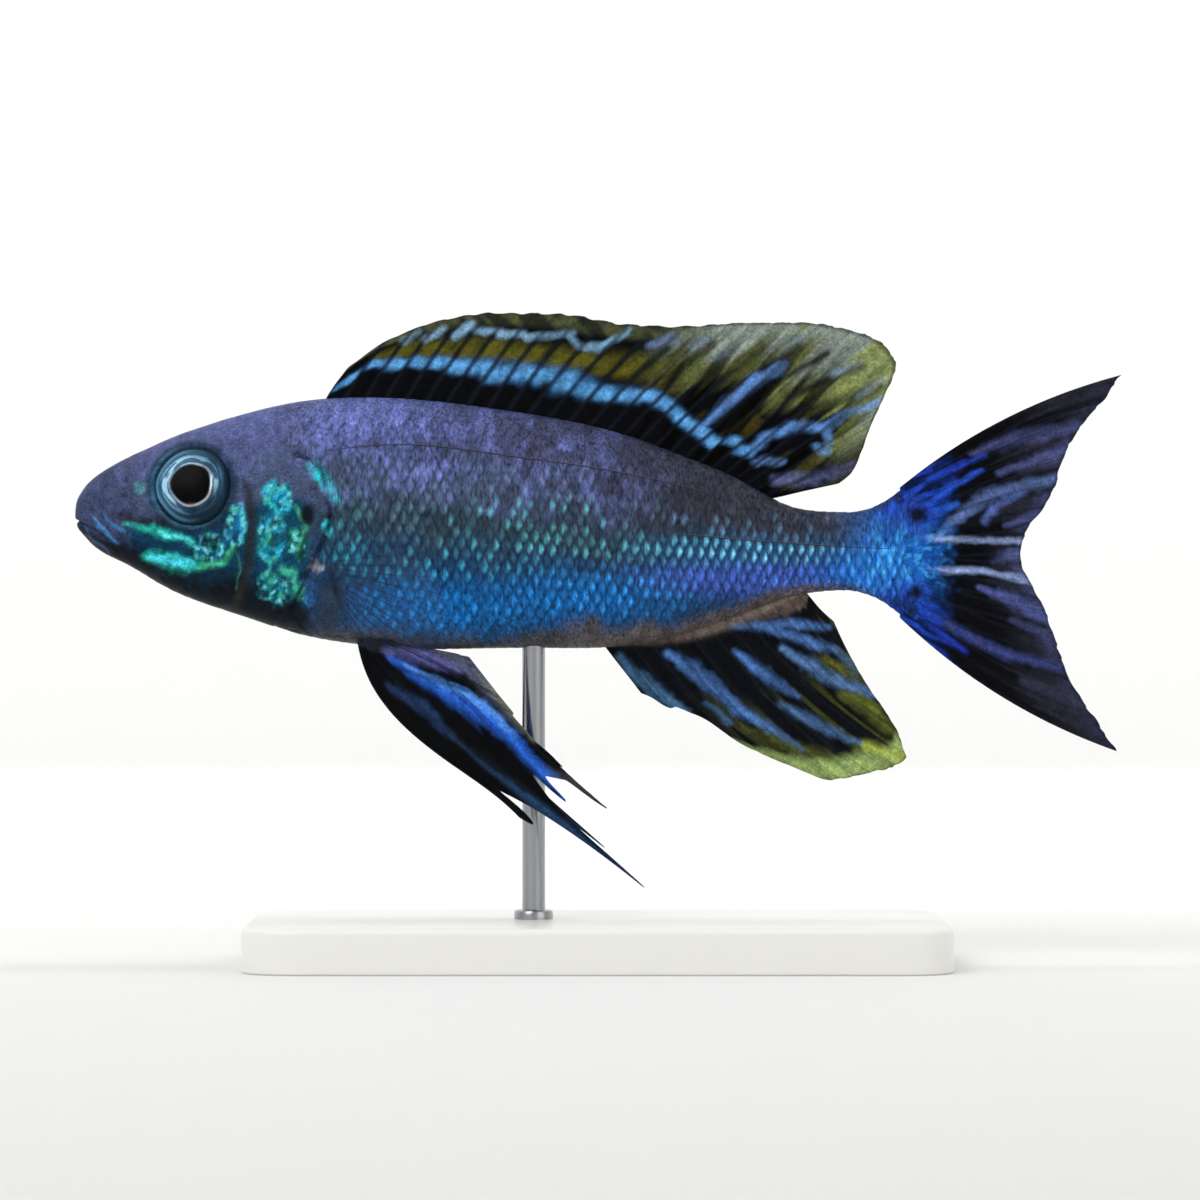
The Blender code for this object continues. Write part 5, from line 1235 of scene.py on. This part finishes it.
eyeMaterial = finishMaterial("eyeGloss", eyeLooks)
finMaterial = finishMaterial("finSatin", finLooks)
linesLeft = buildLateralLines("lateralLinesLeft", -1.0, finMaterial)
linesRight = buildLateralLines("lateralLinesRight", 1.0, finMaterial)
webMaterial = finishMaterial("clearWeb", {"colour": "#4a5568", "shader": pectoral["clear"]})
boneMaterial = finishMaterial("clearRay", {"colour": "#30363f", "shader": pectoral["bone"]})
plateMaterial = finishMaterial("standWhite", stand["plate"])
steelMaterial = finishMaterial("standSteel", stand["steel"])
pieces = (
    (buildEye("eyeLeft", -1.0, eyeMaterial), "eye_left", "eye"),
    (buildEye("eyeRight", 1.0, eyeMaterial), "eye_right", "eye"),
    (buildDorsal(finMaterial), "dorsal_fin", "spiny_fin"),
    (buildAnal(finMaterial), "anal_fin", "spiny_fin"),
    (buildTail(finMaterial), "tail_fin", "blue_fin"),
    (buildPelvic("pelvicFinLeft", -1.0, 1.0, finMaterial), "pelvic_fin_left", "blue_fin"),
    (buildPelvic("pelvicFinRight", 1.0, pelvic["rightSize"], finMaterial), "pelvic_fin_right", "blue_fin"),
    (buildPectoralWeb("pectoralWebLeft", -1.0, webMaterial), "pectoral_fin_left", "clear_fin"),
    (buildPectoralWeb("pectoralWebRight", 1.0, webMaterial), "pectoral_fin_right", "clear_fin"),
    (buildPlate(plateMaterial), "stand_base", "base"),
    (buildRod(steelMaterial), "stand_rod", "rod"),
)
for piece, node, slotName in pieces:
    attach(piece, "root")
    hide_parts(node)
raysLeft = buildPectoralRays("pectoralRaysLeft", -1.0, boneMaterial)
raysRight = buildPectoralRays("pectoralRaysRight", 1.0, boneMaterial)
for piece in (skin, scalesLeft, scalesRight, linesLeft, linesRight, raysLeft, raysRight):
    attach(piece, "root")
print("eyes, fins and stand:", len(pieces) + 2, "pieces")


# Studio: a swept backdrop, soft lights and the camera

studio = {
    "floor": {"colour": "#e2e2e1", "shader": {"Roughness": 0.85, "Specular IOR Level": 0.1}},
    "level": 1.3, "bend": 0.6, "top": 2.4,
    "lights": (  # name, place, aim, width, watts
        ("key", (-0.8, -1.2, 1.1), (0, 0, 0.07), 1.0, 13.4),
        ("fill", (1.1, -1.1, 0.4), (0, 0, 0.07), 1.2, 5.6),
        ("top", (0.0, 0.15, 1.4), (0, 0, 0.07), 1.2, 6.4),
        ("backdropLeft", (-0.9, 0.2, 1.3), (-0.6, 1.9, 0.7), 0.9, 14.0),
        ("backdropRight", (0.9, 0.2, 1.3), (0.6, 1.9, 0.7), 0.9, 14.0),
    ),
    "world": 0.2,
    "distance": 1.0, "frameWidth": 0.210, "centre": (0.0004, 0.0638),
}


def buildBackdrop():  # a level floor, a quarter circle and an upright wall, turned all the way round
    looks = studio
    rise = np.linspace(0, math.pi / 2, 16)
    reach = np.concatenate([[0.01], looks["level"] + looks["bend"] * np.sin(rise), [looks["level"] + looks["bend"]]])
    z = np.concatenate([[0.0], looks["bend"] * (1 - np.cos(rise)), [looks["top"]]])[:, None]
    turn = np.arange(96) * 2 * math.pi / 96
    grid = np.stack(np.broadcast_arrays(reach[:, None] * np.cos(turn), reach[:, None] * np.sin(turn), z), axis=-1)
    grid = grid / mm - (snoutX, 0, axisZ)
    material = finishMaterial("paleFloor", looks["floor"])
    return makePiece("backdrop", grid, gridFaces(len(reach), 96, around=True), [], None, material)


def aim(thing, place, target):  # turns a light or camera so that its -Z axis points at the target
    thing.location = place
    run = np.array(target, float) - np.array(place, float)
    level = math.hypot(run[0], run[1])
    thing.rotation_euler = (math.atan2(level, -run[2]), 0.0, math.atan2(-run[0], run[1]))


buildBackdrop()
for name, place, target, width, watts in studio["lights"]:
    lamp = bpy.data.lights.new(name, "AREA")
    lamp.size = width
    lamp.energy = watts
    holder = bpy.data.objects.new(name, lamp)
    bpy.context.scene.collection.objects.link(holder)
    aim(holder, place, target)

world = bpy.data.worlds.new("studioWorld")
world.use_nodes = True
world.node_tree.nodes["Background"].inputs["Color"].default_value = (1, 1, 1, 1)
world.node_tree.nodes["Background"].inputs["Strength"].default_value = studio["world"]
bpy.context.scene.world = world
bpy.context.scene.view_settings.view_transform = "Standard"

camera = bpy.data.cameras.new("camera")
camera.sensor_width = 36
camera.lens = 36 * studio["distance"] / studio["frameWidth"]
camera.clip_start, camera.clip_end = 0.05, 20
viewer = bpy.data.objects.new("camera", camera)
bpy.context.scene.collection.objects.link(viewer)
centreX, centreZ = studio["centre"]
aim(viewer, (centreX, -studio["distance"], centreZ), (centreX, 0.0, centreZ))
bpy.context.scene.camera = viewer
